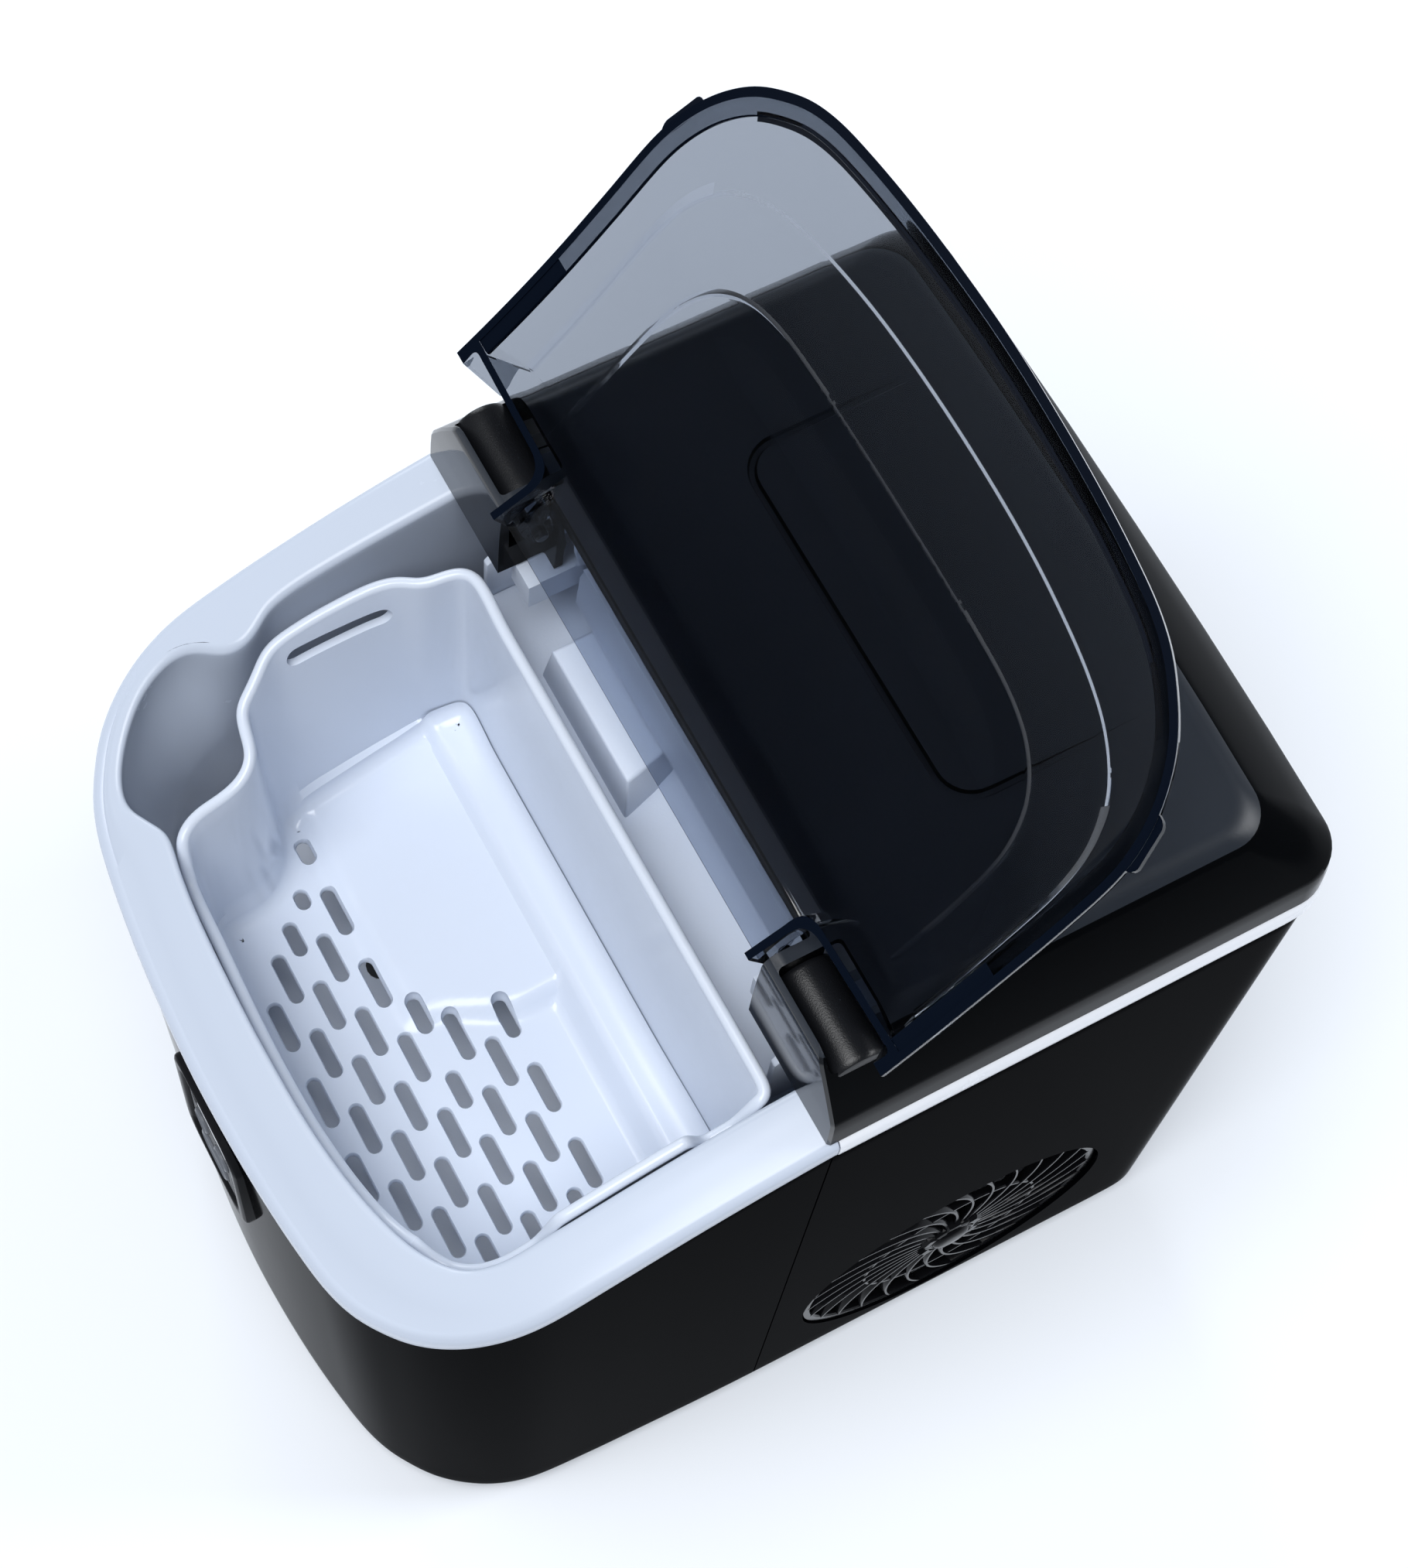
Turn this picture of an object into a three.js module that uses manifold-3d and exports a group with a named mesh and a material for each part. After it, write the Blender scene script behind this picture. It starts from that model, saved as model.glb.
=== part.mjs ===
// Countertop ice maker with a see-through lid, a removable ice basket and a round side fan vent.
// Millimetres, +Z up, front towards -Y, right side towards +X. The whole object stands on its
// four rubber feet. Inside the group the deck line at the hinge is z = 0, and the front line of
// the rear cover is y = 0; the group lifts that frame onto the floor and centres it.
import * as THREE from 'three';
import { mergeVertices } from 'three/addons/utils/BufferGeometryUtils.js';
import { ConvexGeometry } from 'three/addons/geometries/ConvexGeometry.js';
import Module from 'manifold-3d';

const wasm = await Module();
wasm.setup();

// ---------------------------------------------------------------- driving dimensions (mm)
const DECK_HEIGHT = 272;        // floor to deck line at the hinge
const HALF_W = 111.4;           // half width of the deck
const FRONT_Y = -128.9;         // foremost point of the deck
const BACK_Y = 156.5;           // rearmost point of the housing
const Y_SHIFT = -14.1;          // centres the bounding box in Y
const SLOPE_1 = 0.22;           // forward slope of the deck at the hinge
const SLOPE_2 = 0.0016;         // extra fall of the deck, per mm squared
const DECK_T = 8;               // height of the deck's visible edge
const BODY_BOTTOM = -266;       // underside of the housing
const SHELL_T = 2.6;            // housing wall
const LID_T = 2.2;              // lid wall
const COVER_TOP = 35;           // rear cover height above the deck line
const HINGE_Y = 8.8, HINGE_Z = 21.4;
const LID_OPEN = 149.8;         // degrees from closed to the stop on the cover
const VENT_Y = 67, VENT_Z = -203, VENT_R = 56;
const TANK_BOTTOM = -138;       // underside of the water tank
const BASKET_FLOOR = -96;       // top of the basket floor
const GAP = 0.35;               // clearance between neighbouring pieces
const TRAY_Y = 58, TRAY_Z = -40, TRAY_R = 21;   // tilting water tray axis and radius

// ---------------------------------------------------------------- solid helpers
function solid(geometry) {
  const g = geometry.index ? geometry.clone() : geometry.clone();
  g.deleteAttribute('normal');
  g.deleteAttribute('uv');
  const m = mergeVertices(g, 1e-4);
  const index = Array.from(m.index.array);
  const tri = [];
  for (let i = 0; i < index.length; i += 3) {
    const [a, b, c] = [index[i], index[i + 1], index[i + 2]];
    if (a !== b && b !== c && a !== c) tri.push(a, b, c);
  }
  return new wasm.Manifold(new wasm.Mesh({
    numProp: 3,
    vertProperties: new Float32Array(m.attributes.position.array),
    triVerts: new Uint32Array(tri),
  }));
}
function toGeometry(man) {
  const m = man.getMesh();
  const g = new THREE.BufferGeometry();
  g.setAttribute('position', new THREE.BufferAttribute(new Float32Array(m.vertProperties), 3));
  g.setIndex(new THREE.BufferAttribute(new Uint32Array(m.triVerts), 1));
  g.computeVertexNormals();
  return g;
}
const join = (...s) => s.reduce((a, b) => a.add(b));
const cut = (a, ...s) => s.reduce((x, y) => x.subtract(y), a);
const V = (x, y, z) => new THREE.Vector3(x, y, z);

function area(pts) {
  let a = 0;
  for (let i = 0; i < pts.length; i++) {
    const [x0, y0] = pts[i], [x1, y1] = pts[(i + 1) % pts.length];
    a += x0 * y1 - x1 * y0;
  }
  return a / 2;
}
const ccw = (pts) => (area(pts) < 0 ? pts.slice().reverse() : pts);
function shapeOf(pts, holes = []) {
  const s = new THREE.Shape(ccw(pts).map(([x, y]) => new THREE.Vector2(x, y)));
  for (const h of holes) s.holes.push(new THREE.Path(ccw(h).reverse().map(([x, y]) => new THREE.Vector2(x, y))));
  return s;
}
// outline in the XY plane, extruded along +Z
function prismZ(pts, z0, z1, holes = []) {
  const g = new THREE.ExtrudeGeometry(shapeOf(pts, holes), { depth: z1 - z0, bevelEnabled: false, curveSegments: 1 });
  g.translate(0, 0, z0);
  return solid(g);
}
// outline given as (y, z), extruded along +X
function prismX(pts, x0, x1, holes = []) {
  const g = new THREE.ExtrudeGeometry(shapeOf(pts, holes), { depth: x1 - x0, bevelEnabled: false, curveSegments: 1 });
  g.applyMatrix4(new THREE.Matrix4().makeBasis(V(0, 1, 0), V(0, 0, 1), V(1, 0, 0)));
  g.translate(x0, 0, 0);
  return solid(g);
}
// outline given as (x, z), extruded from y0 to y1
function prismY(pts, y0, y1, holes = []) {
  const g = new THREE.ExtrudeGeometry(shapeOf(pts, holes), { depth: y1 - y0, bevelEnabled: false, curveSegments: 1 });
  g.applyMatrix4(new THREE.Matrix4().makeBasis(V(1, 0, 0), V(0, 0, 1), V(0, -1, 0)));
  g.translate(0, y1, 0);
  return solid(g);
}
const hull = (pts) => solid(new ConvexGeometry(pts.map(([x, y, z]) => V(x, y, z))));
function block(x0, x1, y0, y1, z0, z1) {
  const g = new THREE.BoxGeometry(x1 - x0, y1 - y0, z1 - z0);
  g.translate((x0 + x1) / 2, (y0 + y1) / 2, (z0 + z1) / 2);
  return solid(g);
}
// profile of [radius, height] about the local axis, turned to X, Y or Z
function turned(profile, axis, x, y, z, seg = 24) {
  const g = new THREE.LatheGeometry(profile.map(([r, h]) => new THREE.Vector2(r, h)), seg);
  if (axis === 'z') g.rotateX(Math.PI / 2);
  if (axis === 'x') g.rotateZ(-Math.PI / 2);
  g.translate(x, y, z);
  let s = solid(g);
  if (s.volume() < 0) throw new Error('profile runs the wrong way');
  return s;
}
const rod = (axis, r, h0, h1, x, y, z, seg = 24) =>
  turned([[0, h0], [r, h0], [r, h1], [0, h1]], axis, x, y, z, seg);
function roundRect(x0, x1, y0, y1, r, n = 4) {
  const pts = [];
  for (const [cx, cy, a0] of [[x1 - r, y0 + r, -90], [x1 - r, y1 - r, 0], [x0 + r, y1 - r, 90], [x0 + r, y0 + r, 180]]) {
    for (let i = 0; i <= n; i++) {
      const a = (a0 + 90 * i / n) * Math.PI / 180;
      pts.push([cx + r * Math.cos(a), cy + r * Math.sin(a)]);
    }
  }
  return pts;
}
const ring = (r, n, cx = 0, cy = 0) => Array.from({ length: n }, (_, i) =>
  [cx + r * Math.cos(2 * Math.PI * i / n), cy + r * Math.sin(2 * Math.PI * i / n)]);
// offset a closed outline inwards (positive) by d along its corner normals
function inset(pts, d) {
  const p = ccw(pts), n = p.length;
  return p.map(([x, y], i) => {
    const [ax, ay] = p[(i + n - 1) % n], [bx, by] = p[(i + 1) % n];
    let ux = x - ax, uy = y - ay, vx = bx - x, vy = by - y;
    const lu = Math.hypot(ux, uy) || 1, lv = Math.hypot(vx, vy) || 1;
    ux /= lu; uy /= lu; vx /= lv; vy /= lv;
    const nx = -(uy + vy), ny = ux + vx, l = Math.hypot(nx, ny) || 1;
    const c = Math.max(0.45, Math.sqrt(Math.max(0, (1 + ux * vx + uy * vy) / 2)));
    return [x + nx / l * d / c, y + ny / l * d / c];
  });
}

// ---------------------------------------------------------------- shared outlines
// plan of the deck, right half from the hinge line to the middle of the front
const HALF = [[111.4, 0], [111.1, 40], [111, 60], [110.3, 81], [108.3, 90], [105, 98], [100.5, 105],
  [95, 111], [88, 116], [80.5, 120.2], [71, 123.2], [58, 125.3], [40, 127.2], [20, 128.4], [0, 128.9]];
const deckZ = (y) => (y < 0 ? SLOPE_1 * y - SLOPE_2 * y * y : 0);
const rearHalf = (x, back, r, n = 4) => {
  const pts = [];
  for (let i = 0; i <= n; i++) {
    const a = Math.PI / 2 * i / n;
    pts.push([x - r + r * Math.cos(a), back - 1.6 - r + r * Math.sin(a)]);
  }
  pts.push([x * 0.45, back - 0.2]);
  return pts;
};
function mirrored(right) {             // right half, front to back -> closed outline
  const left = right.filter(([x]) => Math.abs(x) > 1e-6).map(([x, y]) => [-x, y]).reverse();
  return ccw([...right, ...left]);
}
const frontHalf = HALF.map(([x, y]) => [x, -y]).reverse();      // middle of the front -> hinge line
const bodyPlan = mirrored([...frontHalf, ...rearHalf(111.2, BACK_Y, 14)]);
// the housing draws in towards the floor, more at the front than at the back
function bodyRing(extra, z) {
  const t = Math.min(1, Math.max(0, -z / 266));
  return inset(bodyPlan, extra).map(([x, y]) => {
    const f = Math.min(1, Math.max(0, (130 - y) / 250));
    const d = t * (0.6 + 2.8 * f);
    const l = Math.hypot(x, y) || 1;
    const k = Math.pow(Math.abs(x * y) / (111 * 129), 2) * 5 * t * (y < 0 ? 1 : 0);
    return [x - Math.sign(x) * Math.min(Math.abs(x), d) - x / l * k, y + (y < 0 ? d : -d * 0.6) * Math.min(1, Math.abs(y) / 100) - y / l * k, z];
  });
}
// the YZ curve of the deck, shifted by dz, closed above or below
function deckCurve(dz, upTo, y0 = -150, y1 = 0) {
  const pts = [[y0, deckZ(y0) + dz]];
  for (const y of [-128, -118, -106, -92, -76, -58, -38, -18]) pts.push([y, deckZ(y) + dz]);
  pts.push([0, dz]);
  if (y1 > 0) pts.push([y1, dz]);
  pts.push([y1, upTo], [y0, upTo]);
  return pts;
}

const group = new THREE.Group();
group.position.set(0, Y_SHIFT, DECK_HEIGHT);
const look = {
  black: { color: 0x0b0c0f, roughness: 0.22, metalness: 0 },
  satin: { color: 0x1a1c1f, roughness: 0.5, metalness: 0 },
  white: { color: 0xdfe6f2, roughness: 0.25, metalness: 0 },
  smoke: { color: 0x4a5666, roughness: 0.08, metalness: 0, transparent: true, opacity: 0.5 },
  rubber: { color: 0x161616, roughness: 0.9, metalness: 0 },
  steel: { color: 0xa7abb0, roughness: 0.35, metalness: 1 },
  alu: { color: 0xc3c7cc, roughness: 0.4, metalness: 1 },
  copper: { color: 0xb87345, roughness: 0.4, metalness: 1 },
  pcb: { color: 0x1f6b3a, roughness: 0.6, metalness: 0 },
  lens: { color: 0x10151c, roughness: 0.08, metalness: 0 },
  grey: { color: 0x8d949e, roughness: 0.45, metalness: 0 },
};
function part(name, man, mat, parent = group) {
  const mesh = new THREE.Mesh(toGeometry(man), new THREE.MeshStandardMaterial(look[mat]));
  mesh.name = name;
  parent.add(mesh);
  return mesh;
}

// ---------------------------------------------------------------- housing shells
const shellOuter = hull([...bodyRing(1.2, 2), ...bodyRing(1.2, -258), ...bodyRing(5.0, BODY_BOTTOM)]);
const shellInner = hull([...bodyRing(1.2 + SHELL_T, 6), ...bodyRing(1.2 + SHELL_T, -257.5), ...bodyRing(1.4 + SHELL_T + 1.2, -262), ...bodyRing(1.4 + SHELL_T + 3.4, -275)]);
const tube = cut(shellOuter, shellInner);
const aboveDeck = prismX(deckCurve(-DECK_T - GAP, 40, -150, 170), -130, 130);
const aboveTrim = block(-130, 130, -1, 180, -9.6, 40);
const seamY = 1.6;
const panelHole = prismY(roundRect(-17, 17, -150, -94, 8), -150, -110);
part('front_shell', cut(tube, aboveDeck, block(-130, 130, seamY - 0.2, 200, -300, 60), panelHole), 'black');

// rear shell: round fan vent on the right, louvres on the left, power inlet and drain at the back
let rear = cut(tube, aboveTrim, block(-130, 130, -200, seamY + 0.2, -300, 60));
rear = cut(rear, rod('x', VENT_R - 3, -20, 20, 110, VENT_Y, VENT_Z, 40));
for (let i = 0; i < 9; i++) {
  const z = -245 + i * 13;
  rear = cut(rear, prismX(roundRect(40, 118, z, z + 5, 2.4, 2), -125, -95));
}
for (let i = 0; i < 7; i++) {
  const z = -118 + i * 11;
  rear = cut(rear, prismY(roundRect(-50, 50, z, z + 4.5, 2.2, 2), 140, 170));
}
rear = cut(rear, prismY(roundRect(-84, -56, -244, -224, 3), 140, 170), rod('y', 8.4, -12, 12, 62, 154, -238, 20));
part('rear_shell', rear, 'black');

// ---------------------------------------------------------------- base pan, feet, base screws
const panOuter = hull([...bodyRing(1.2 + SHELL_T + 4.2, -265.4), ...bodyRing(1.2 + SHELL_T + 3.4, -262), ...bodyRing(1.2 + SHELL_T + 1.6, -256.5), ...bodyRing(1.2 + SHELL_T + 0.7, -248)]);
const panInner = hull([...bodyRing(1.2 + SHELL_T + 5.4, -262.4), ...bodyRing(1.2 + SHELL_T + 3.2, -240)]);
let pan = cut(panOuter, panInner, rod('x', VENT_R + 3.5, -30, 30, 112, VENT_Y, VENT_Z, 32), block(-125, -90, 36, 122, -256, -230));
const screwAt = [[-62, -72], [62, -72], [-62, 124], [62, 124]];
for (const [x, y] of screwAt) pan = cut(pan, rod('z', 2.2, -270, -255, x, y, 0, 12));
for (let i = 0; i < 6; i++) pan = cut(pan, prismZ(roundRect(-40, 40, -42 + i * 9, -38 + i * 9, 1.9, 2), -270, -255));
part('base_pan', pan, 'satin');
const feet = { foot_front_left: [-80, -92], foot_front_right: [80, -92], foot_rear_left: [-88, 132], foot_rear_right: [88, 132] };
for (const [name, [x, y]] of Object.entries(feet)) {
  const m = part(name, turned([[0, 0], [9, 0], [10.5, 1.2], [11.5, 6.2], [0, 6.2]], 'z', 0, 0, 0, 16), 'rubber');
  m.position.set(x, y, -272);
}
screwAt.forEach(([x, y], i) => {
  const m = part(`base_screw_${i + 1}`, join(
    turned([[0, -2.2], [2.6, -2.2], [4, -0.9], [4, 0], [0, 0]], 'z', 0, 0, 0, 10),
    rod('z', 1.85, -0.5, 8.5, 0, 0, 0, 10)), 'steel');
  m.position.set(x, y, -265.75);
});

// ---------------------------------------------------------------- deck and water tank, one white moulding
const wellPlan = [[-93, 79], [-93, 0], [-94.6, -34], [-95.4, -60], [-90, -70], [-91, -80], [-87, -94], [-76, -103],
  [-60, -107], [-25.7, -109.1], [6.8, -109.9], [36, -108.5], [60.4, -104.6], [77.6, -99], [87.8, -91.6],
  [91.6, -82.6], [92, -71.9], [92.5, -40], [92.7, 0], [93, 79]];
const scoopTop = [[-95.4, -61], [-97.5, -70], [-100.3, -81], [-101.2, -92], [-97, -99.6], [-91, -105.4], [-82, -111.4], [-74, -113.8], [-66, -111.5], [-56, -107], [-58, -88], [-76, -70]];
const scoopLow = [[-88, -68], [-90, -82], [-85, -94], [-75, -102], [-62, -104], [-58, -90], [-72, -72]];
const scoop = hull([...scoopTop.map(([x, y]) => [x, y, 0]), ...scoopTop.map(([x, y]) => [x, y, deckZ(y) - 7]), ...scoopLow.map(([x, y]) => [x, y, -86])]);
const scoopWall = hull([...inset(scoopTop, -2.4).map(([x, y]) => [x, y, deckZ(y) - 6]), ...inset(scoopLow, -2.6).map(([x, y]) => [x, y, -89])]);
const flangePlan = mirrored([...frontHalf, [111.4, seamY - 0.2]]);
const flange = cut(prismZ(flangePlan, -75, 2), aboveBelow(0, true), aboveBelow(-DECK_T, false));
function aboveBelow(dz, above) {
  return prismX(deckCurve(dz, above ? 60 : -200, -150, 170), -130, 130);
}
const insideShell = hull([...bodyRing(1.2 + SHELL_T + 0.45, 8), ...bodyRing(1.2 + SHELL_T + 0.45, -257.5)]);
let liner = join(flange, cut(join(prismZ(inset(wellPlan, -2.4), TANK_BOTTOM, -1.2), scoopWall), aboveBelow(-1.2, true)).intersect(insideShell));
liner = cut(liner, prismZ(wellPlan, TANK_BOTTOM + 2.6, 30), scoop);
// drain spigot hole and pump spigot hole in the tank floor
liner = cut(liner, rod('z', 5.8, -4, 4, 62, 10, TANK_BOTTOM, 12), rod('z', 5, -4, 4, -30, -60, TANK_BOTTOM, 12));
part('deck_and_tank', liner, 'white');

// white trim band under the rear cover
const trimPlan = (d) => {
  const p = inset(mirrored([[111.2, seamY + 0.2], ...rearHalf(111.2, BACK_Y, 14)]), d);
  return p;
};
part('rear_trim_band', cut(prismZ(trimPlan(0), -9.2, -0.35), prismZ(inset(mirrored([[111.2, -60], ...rearHalf(111.2, BACK_Y, 14)]), 9), -20, 5),
  prismZ(inset(wellPlan, -3.4), -30, 10)), 'white');

// ---------------------------------------------------------------- rear cover with the two hinge ears
const coverRing = (x, y0, y1, r, z) => {
  const right = [[x - 1, y0], [x, y0 + 1], ...rearHalf(x, y1, r, 4)];
  return mirrored(right).map(([a, b]) => [a, b, z]);
};
let cover = hull([...coverRing(110.2, -1.6, 156, 14, 0), ...coverRing(109.6, -1.4, 155, 14, 13),
  ...coverRing(104.5, -1.1, 147, 13, 22), ...coverRing(98.5, -0.6, 136, 12, 31), ...coverRing(95, 1.4, 131.6, 11, 34), ...coverRing(92, 4, 128.5, 10, COVER_TOP)]);
const coverIn = hull([...coverRing(107.4, 15, 153, 12, -1), ...coverRing(106.8, 15, 152, 12, 12),
  ...coverRing(101.5, 15, 144, 11, 20.5), ...coverRing(95.5, 15, 133, 10, 28.6), ...coverRing(91, 15, 127, 9, 32.2)]);
cover = cut(cover, coverIn, block(-69.2, 69.2, -20, 12.8, -5, 60));
// shallow U-shaped groove in the top
const groove = cut(prismZ(roundRect(-57, 57, 60.8, 118, 11, 3), COVER_TOP - 0.9, 60), prismZ(roundRect(-54.4, 54.4, 63.4, 122, 9, 3), 0, 70), block(-80, 80, 116, 130, 0, 70));
cover = cut(cover, groove);
// lid clearance slots and barrels on the ears
for (const s of [-1, 1]) {
  const [a, b] = s > 0 ? [73, 101] : [-101, -73];
  cover = cut(cover, block(a, b, 1.2, 19, 11.5, 60));
  cover = cut(cover, block(s > 0 ? 66 : -72.8, s > 0 ? 72.8 : -66, 1.6, 12.9, 12, 31));
  cover = join(cover, rod('x', 8.6, s > 0 ? 72.2 : -102, s > 0 ? 102 : -72.2, 0, 9.6, 21.6, 24));
  cover = cut(cover, rod('x', 2.3, s > 0 ? 60 : -78, s > 0 ? 78 : -60, 0, HINGE_Y, HINGE_Z, 16));
}
// the cover drops over the tank walls and the trim, so its skirt is cut clear of the front deck
part('rear_cover', cover, 'satin');

// ---------------------------------------------------------------- lid, drawn closed, swung open about its hinge
const lidGroup = new THREE.Group();
const hA = (y) => 13 + 4.5 * Math.min(1, Math.max(0, (y + 102) / 87));
const hB = (y) => 17.5 + 3.2 * Math.min(1, Math.max(0, (y + 79) / 64));
const rimOut = frontHalf.map(([x, y]) => [Math.max(0, x - 0.6), y + 0.4 * Math.min(1, -y / 100)]);
const ringA = [[0, -104.5], [30, -103.6], [50, -101.5], [68, -98.2], [80, -94], [90, -87], [97, -76], [99.6, -64], [100.4, -40], [100.6, 0], [100.6, 12]];
const ringB = [[0, -80.5], [36, -80], [56, -78.6], [68, -75], [77, -68], [82.4, -57], [84, -44], [84.4, -20], [84.5, 0]];
const lidRings = (t, drop) => [
  ...[...rimOut, [110.8, 12]].flatMap(([x, y]) => [[x - t, y + t * 0.9 * Math.min(1, -Math.min(0, y) / 90)], [-(x - t), y + t * 0.9 * Math.min(1, -Math.min(0, y) / 90)]]).map(([x, y]) => [x, y, deckZ(y) + 0.9]),
  ...[...rimOut, [110.8, 12]].flatMap(([x, y]) => [[x - t, y + t * 0.9 * Math.min(1, -Math.min(0, y) / 90)], [-(x - t), y + t * 0.9 * Math.min(1, -Math.min(0, y) / 90)]]).map(([x, y]) => [x * 0.996, y * 0.996, deckZ(y) + 5]),
  ...ringA.flatMap(([x, y]) => [[x - t * 0.6, y + t * 0.6], [-(x - t * 0.6), y + t * 0.6]]).map(([x, y]) => [x, y, deckZ(y) + hA(y) - drop]),
  ...ringB.flatMap(([x, y]) => [[x, y], [-x, y]]).map(([x, y]) => [x, y, deckZ(y) + hB(y) - drop]),
];
// the top dips to a channel in front of the hinge
const channel = (d) => prismX([[-15.5 - d * 0.3, 20.2 + 4], [-15.5 - d * 0.3, 17.3 - d], [-5, 9.6 - d], [2, 8.2 - d], [8, 9.6 - d], [20, 13.4 - d], [20, 60], [-15.5 - d * 0.3, 60]], -76, 76);
// the pockets that wrap round the two hinge ears
const pocket = (s, d) => {
  const X = (x) => s * x;
  const low = [[69 - d, 20], [69 - d, 0], [71.5 - d * 0.7, -5.2 - d * 0.7], [76, -7 - d], [107.5 + d, -7 - d], [130, -3 - d], [130, 20]];
  const top = [[69 - d, 20], [69 - d, -6], [72.5 - d * 0.7, -12 - d * 0.7], [79, -14.6 - d], [101 + d, -14.6 - d], [130, -8 - d], [130, 20]];
  return hull([...low.map(([x, y]) => [X(x), y, -12]), ...low.map(([x, y]) => [X(x), y, -1]), ...top.map(([x, y]) => [X(x), y, 18]), ...top.map(([x, y]) => [X(x), y, 40])]);
};
const underRim = (dz) => prismX(deckCurve(dz, -260, -160, 60), -140, 140);
const rearCut = block(-140, 140, 12.2, 60, -60, 80);
let lidOut = cut(hull(lidRings(0, 0)), underRim(0.9), rearCut, pocket(1, 0), pocket(-1, 0), channel(0));
let lidIn = cut(hull([...lidRings(LID_T, LID_T), ...[...rimOut, [110.8, 14]].flatMap(([x, y]) => [[x - LID_T, y + 1.8, -90], [-(x - LID_T), y + 1.8, -90]])]),
  block(-140, 140, 10.2, 60, -100, 80), pocket(1, LID_T), pocket(-1, LID_T), channel(LID_T));
// inward rim flange
const flangeIn = inset(mirrored([...rimOut, [110.8, 30]]), 6.2);
const rimBand = cut(cut(prismZ(mirrored([...rimOut, [110.8, 30]]), -80, 10), prismZ(flangeIn, -90, 20)), underRim(0.9), prismX(deckCurve(2.9, 60, -160, 60), -140, 140), rearCut, pocket(1, 0), pocket(-1, 0), block(-104, 104, -20, 60, -60, 60));
let lid = join(cut(lidOut, lidIn), rimBand.intersect(lidOut));
// hinge arms with pin bosses, between the ears
for (const s of [-1, 1]) {
  const circle = ring(3.7, 14, HINGE_Y, HINGE_Z);
  const pts = [...circle, [-1, 8.2], [1, 6.9], [9.6, 8.8]];
  const x0 = s > 0 ? 64.6 : -68.4, x1 = s > 0 ? 68.4 : -64.6;
  lid = join(lid, hull(pts.flatMap(([y, z]) => [[x0, y, z], [x1, y, z]])));
  lid = cut(lid, rod('x', 2.15, s > 0 ? 60 : -72, s > 0 ? 72 : -60, 0, HINGE_Y, HINGE_Z, 16));
}
// two finger tabs on the rim
const tab = (x0, y0, x1, y1, ox, oy) => {
  const pts = [];
  for (const [x, y] of [[x0, y0], [x1, y1]]) {
    const z = deckZ(y);
    for (const dz of [1.2, 4.2]) pts.push([x, y, z + dz]);
  }
  for (const [x, y] of [[x0 + (x1 - x0) * 0.14, y0 + (y1 - y0) * 0.14], [x1 - (x1 - x0) * 0.14, y1 - (y1 - y0) * 0.14]]) {
    const z = deckZ(y) + 0.4;
    for (const dz of [1.0, 3.4]) pts.push([x + ox, y + oy, z + dz]);
  }
  return hull(pts);
};
lid = join(lid, tab(-83, -117.6, -55, -124.9, -2.2, -4.6), tab(101.8, -101.6, 107.9, -86.6, 4.4, -2.2));
const swing = new THREE.Group();
swing.position.set(0, HINGE_Y, HINGE_Z);
swing.rotation.x = -LID_OPEN * Math.PI / 180;
lidGroup.position.set(0, -HINGE_Y, -HINGE_Z);
swing.add(lidGroup);
group.add(swing);
part('lid', lid, 'smoke', lidGroup);
for (const [name, s] of [['hinge_pin_left', -1], ['hinge_pin_right', 1]]) {
  const m = part(name, s > 0 ? turned([[0, 63], [1.4, 63], [1.8, 63.6], [1.8, 77.4], [0, 77.4]], 'x', 0, 0, 0, 14)
    : turned([[0, -77.4], [1.8, -77.4], [1.8, -63.6], [1.4, -63], [0, -63]], 'x', 0, 0, 0, 14), 'steel');
  m.position.set(0, HINGE_Y, HINGE_Z);
}

// ---------------------------------------------------------------- ice basket
const basketPlan = [[-75, -5.6], [-78.2, -8.4], [-79.6, -14], [-80.4, -18], [-85, -22.6], [-87.6, -30], [-89.4, -58], [-87.6, -64.4], [-82.6, -70],
  [-78.6, -74.6], [-70, -77.8], [-64, -80], [-60.6, -86], [-60, -94], [-60.4, -99], [-57, -104.6], [-50, -106.4], [-25.7, -107.6], [6.8, -108.4], [35, -107],
  [59.4, -103], [76.4, -97.4], [86.2, -90.4], [89.9, -82], [90.4, -71.5], [90.6, -40], [90.8, -9], [88, -5.6]];
let basket = cut(prismZ(basketPlan, BASKET_FLOOR - 2.4, 10), aboveBelow(-4.2, true));
basket = cut(basket, prismZ(inset(basketPlan, 2.2), BASKET_FLOOR, 30));
// ramp along the back with its curved end, and the raised ledge under the back wall
const ramp = hull([[-73, -62], [-71, -24], [28, -24], [36, -30], [37, -42], [28, -56], [10, -64], [-30, -66]].flatMap(([x, y]) => [[x, y, BASKET_FLOOR - 1], [x * 0.98, y * 0.97 - 0.6, BASKET_FLOOR + 3.2 + (y + 66) * 0.05]]));
const ledge = prismX([[-27, BASKET_FLOOR - 1], [-23, BASKET_FLOOR + 8], [-14, BASKET_FLOOR + 10], [-6.5, BASKET_FLOOR + 11], [-6.5, BASKET_FLOOR - 1]], -80, 90);
basket = join(basket, join(ramp, ledge).intersect(prismZ(inset(basketPlan, 1), -140, 0)));
// the handle opening in the left wall and the finger lip on the right
basket = cut(basket, prismX(roundRect(-57, -29, -31, -24.5, 3, 3).map(([y, z]) => [y, z + (y + 43) * 0.22]), -95, -78));
basket = join(basket, hull([[90.6, -74, deckZ(-74) + 0.8], [90.6, -26, deckZ(-26) + 0.8], [88.2, -74, deckZ(-74) + 0.8], [88.2, -26, deckZ(-26) + 0.8],
  [90.6, -80, deckZ(-80) - 7], [90.6, -20, deckZ(-20) - 7], [88.2, -80, deckZ(-80) - 7], [88.2, -20, deckZ(-20) - 7]]));
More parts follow.
